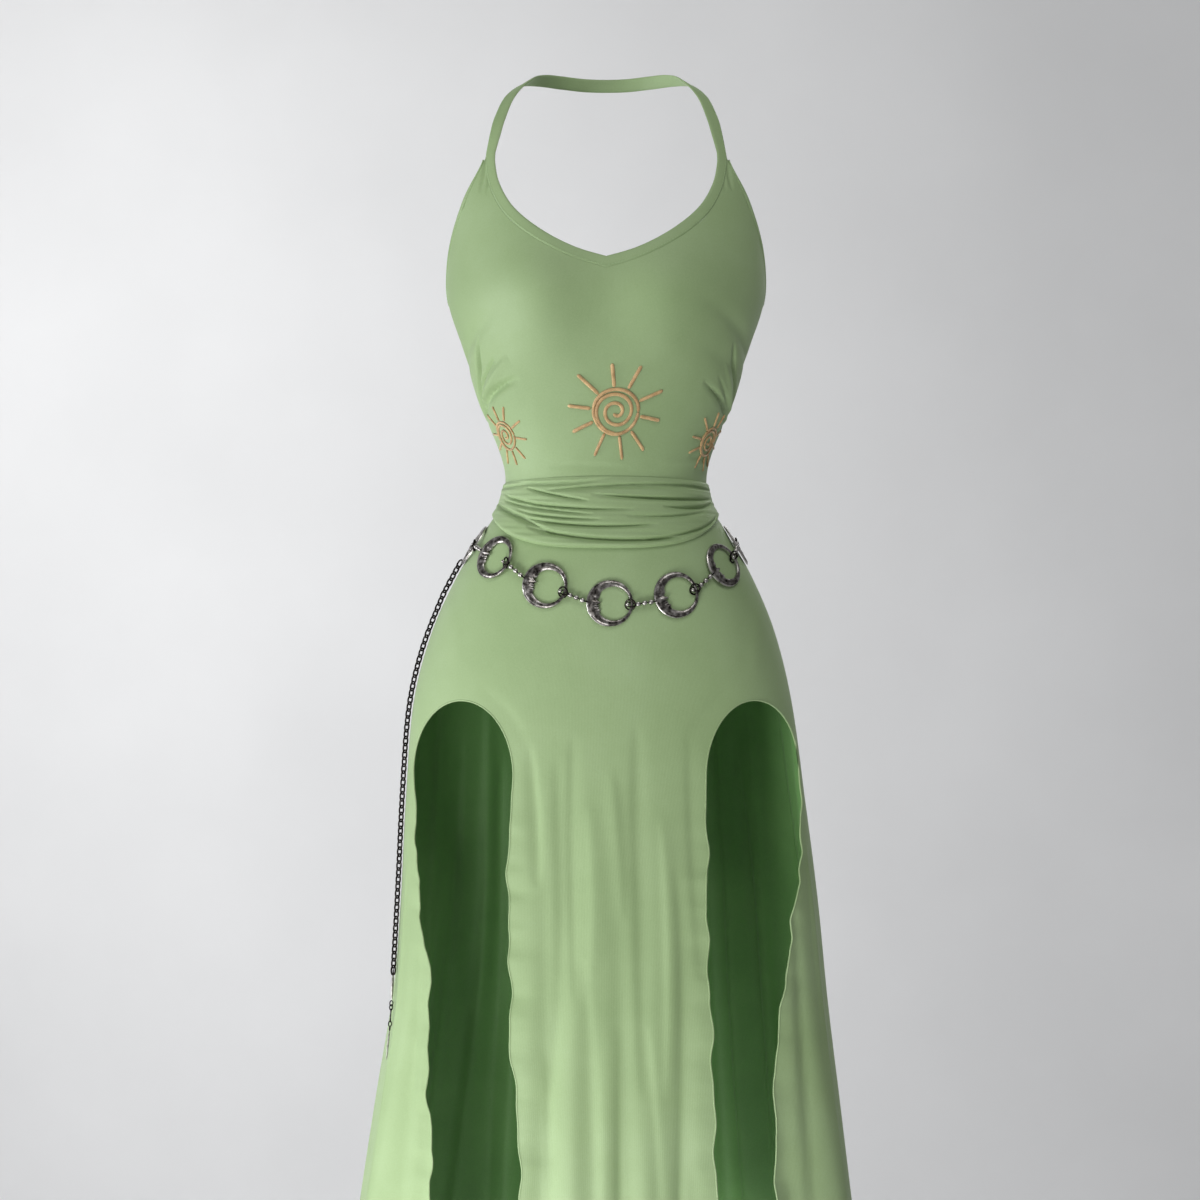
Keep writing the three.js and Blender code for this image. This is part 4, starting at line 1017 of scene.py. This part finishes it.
def ball(centre, radius, rows=8, around=12, stretch=1, *, axis):
    """A round bead, stretched along an axis."""
    up = unit(np.asarray(axis, float))
    side = unit(np.cross(up, [0.31, 0.9, 0.2]))
    third = np.cross(up, side)
    lat = np.linspace(-math.pi / 2, math.pi / 2, rows + 1)[1:-1, None]
    lon = full_turn(around)[None]
    tall = radius * stretch
    level = side * (radius * np.cos(lat) * np.cos(lon))[..., None]
    level = level + third * (radius * np.cos(lat) * np.sin(lon))[..., None]
    ring = (level + up * (tall * np.sin(lat) + 0 * lon)[..., None]).reshape(-1, 3)
    points = np.vstack([ring, [-up * tall], [up * tall]]) + centre
    faces = swept_faces(rows - 1, around)[:-2]
    south, north = len(ring), len(ring) + 1
    top = (rows - 2) * around
    for k in range(around):
        faces.append([south, (k + 1) % around, k])
        faces.append([north, top + k, top + (k + 1) % around])
    return points, faces


def link_parts(ring, next_ring, body):
    """Two wire rings and a bead at one moon ring, three beads with small rings, and a ring at the next."""
    (axes, seat), (next_axes, next_seat) = ring, next_ring
    half = BELT["thick"] / 2
    start = seat + axes[0] * (BELT["outer"] - 0.6) + axes[2] * half
    end = next_seat - next_axes[0] * (BELT["outer"] + 0.9) + next_axes[2] * half
    along = unit(end - start)
    out = unit(axes[2] + next_axes[2])
    chord = np.linalg.norm(end - start)
    bead, below_top = 2.3, 1.9
    lift = max(0.0, float(((body - (start + end) / 2) @ out).max()) - below_top)
    rim = seat + axes[0] * (BELT["outer"] - 2.6) + axes[2] * (half + 0.5)
    tilt = unit(axes[0] + 0.25 * axes[2])
    parts = [
        ring_of_wire(rim, tilt, unit(axes[1] + 0.55 * axes[2]), 4.4, 4.9, 0.75),
        ring_of_wire(rim + axes[0], tilt, unit(axes[1] - 0.9 * axes[2]), 4.0, 2.6, 0.65),
        ball(rim - axes[0] * 2.4 + axes[2] * 1.3, 1.7, axis=axes[0]),
    ]
    beads = 3
    for k in range(beads):
        share = (k + 0.85) / (beads + 0.35)
        centre = start + along * chord * share + out * lift * math.sin(math.pi * share)
        parts.append(ball(centre, bead, stretch=1.1, axis=along))
        parts.append(ring_of_wire(centre + along * 2.9, along, out, 1.9, 1.5, 0.5, 14, 6))
    parts.append(ring_of_wire(end + next_axes[0] * 0.4, along, out, 2.1, 1.7, 0.55, 18, 6))
    return parts


def metal_piece(name, points, faces, node_name, sharp):
    make_piece(name, points, faces, METAL, [node_name], sharp=sharp)


def belt():
    local, ring_faces = crescent()
    names = [f"moon_ring_{n + 1}" for n in range(BELT["rings"])]
    rings = [belt_frame(angle, name) for angle, name in zip(belt_angles(len(names)), names)]
    for n, (axes, seat) in enumerate(rings):
        metal_piece(f"crescent_{n + 1}", local @ axes + seat, ring_faces, names[n], 40)
    for n, ring in enumerate(rings):
        body = f"bead_link_{n + 1}"
        parts = link_parts(ring, rings[(n + 1) % len(rings)], node_points(body))
        metal_piece(f"link_beads_{n + 1}", *merged(parts), body, 60)


def drop_chain():
    """A curb chain whose links lie by turns one way and the other, then bars and small links."""
    places = np.array([[row["angle"], row["z"]] for row in CHAIN_LINE], float)
    knots = on_cloth(places[:, 0], places[:, 1], np.full(len(places), CLOTH + CHAIN["seat"]))
    line = evenly(spline(knots, 30), 900)
    run = run_along(line)
    total = run[-1]
    tangent = unit(np.gradient(line, axis=0))

    def at(length):
        point = between(length, run, line)
        along = unit(between(length, run, tangent))
        side = unit(np.cross(unit(np.array([point[0], point[1] * 1.6, 0.0])), along))
        return point, along, side, unit(np.cross(along, side))

    parts = []
    one_way, other_way = math.radians(-42), math.radians(48)
    for n, length in enumerate(np.arange(CHAIN["first"], total - CHAIN["curb_end"], CHAIN["pitch"])):
        point, along, side, out = at(length)
        roll = other_way if n % 2 else one_way
        lean = side * math.cos(roll) + out * math.sin(roll)
        parts.append(ring_of_wire(point, along, lean, CHAIN["long"], CHAIN["wide"], CHAIN["wire"], 20, 7))
    for bar in CHAIN_BARS:
        half = bar["reach"] / 2
        point, along, side, out = at(total - bar["begin"] + half)
        parts.append(ball(point, bar["thick"], 12, 10, stretch=half / bar["thick"], axis=along))
        parts.append(ring_of_wire(point - along * (half + 1.0), along, side, 1.9, 1.5, 0.5, 14, 6))
    for length in np.arange(total - SMALL_LINKS["begin"], total - SMALL_LINKS["end"], SMALL_LINKS["pitch"]):
        point, along, side, out = at(length)
        parts.append(ring_of_wire(point, along, side if int(length) % 2 else out, 2.4, 1.4, 0.5, 14, 6))
    metal_piece("hanging_chain", *merged(parts), "drop_chain", 60)


# Camera, light and backdrop, in metres and watts

WHITE, DAYLIGHT = (1, 1, 1), (0.95, 0.97, 1)
BODY = (0, 0, -0.45)
LIGHTS = table(
    "name place target size power colour",
    ("window", (-2.9, -0.45, -1.0), BODY, (0.9, 1.1), 55, DAYLIGHT),
    ("front", (-1.5, -2.9, -1.05), BODY, (1.6, 1.2), 8, WHITE),
    ("low", (-0.55, -1.05, -1.4), (0, 0, -1.0), (0.6, 0.5), 12, WHITE),
    ("ceiling", (0.3, -1.5, 1.6), BODY, (1.6, 1.0), 22, WHITE),
    ("wall_wash", (-1.9, 1.2, 0.35), (0, 3.7, -0.2), (0.8, 2), 50, WHITE),
    ("behind", (0.9, 2.2, 0.7), (0, 0, -0.5), (1.2, 1.2), 9, WHITE),
)


def look_at(thing, target):
    """Turns a light to a place."""
    direction = Vector(target) - thing.location
    thing.rotation_euler = direction.to_track_quat("-Z", "Y").to_euler()


def add_camera():
    """The photo's camera, level and 2.3 m in front of the middle of the form."""
    data = bpy.data.cameras.new("camera")
    camera = add_object("camera", data)
    distance, half_view = 2.3, 0.54
    middle = (-0.0054, -NAPE_DEPTH * MM, -0.4725)
    camera.location = (middle[0], middle[1] - distance, middle[2])
    camera.rotation_euler = (math.radians(90), 0, 0)
    data.sensor_width = 36
    data.lens = data.sensor_width / 2 * distance / half_view
    bpy.context.scene.camera = camera


def add_area_light(row):
    data = bpy.data.lights.new(row["name"], "AREA")
    data.shape = "RECTANGLE"
    data.size, data.size_y = row["size"]
    data.energy = row["power"]
    data.color = row["colour"]
    light = add_object(row["name"], data)
    light.location = row["place"]
    look_at(light, row["target"])


def add_stage():
    """A pale floor that bends up into a wall."""
    wall_y, floor_z, reach, bend = 3.7, -2.12, 5.5, 0.2
    profile = [(-reach, floor_z)]
    for turn in np.linspace(0, math.pi / 2, 14):
        profile.append((wall_y - bend + bend * math.sin(turn), floor_z + bend - bend * math.cos(turn)))
    profile.append((wall_y, reach))
    points = [(x, y, z) for y, z in profile for x in (-reach, reach)]
    faces = [[k, k + 1, k + 3, k + 2] for k in range(0, 2 * len(profile) - 2, 2)]
    mesh = bpy.data.meshes.new("backdrop")
    mesh.from_pydata(points, [], faces)
    mesh.shade_smooth()
    mesh.materials.append(wall_material("pale_wall", (0.81, 0.81, 0.815)))
    add_object("backdrop", mesh)


def add_lights():
    world = bpy.data.worlds.new("soft_room")
    world.use_nodes = True
    world.node_tree.nodes["Background"].inputs["Color"].default_value = (0.96, 0.97, 0.97, 1)
    world.node_tree.nodes["Background"].inputs["Strength"].default_value = 0.2
    bpy.context.scene.world = world
    for row in LIGHTS:
        add_area_light(row)


bpy.context.scene.view_settings.view_transform = "Standard"
add_camera()
add_stage()
add_lights()
bodice_front()
bodice_back()
halter_binding()
back_binding()
waist_wrap()
skirt_front()
skirt_back()
for row in SUNS:
    sun(row["name"], row["angle"], row["z"], row["size"])
belt()
drop_chain()
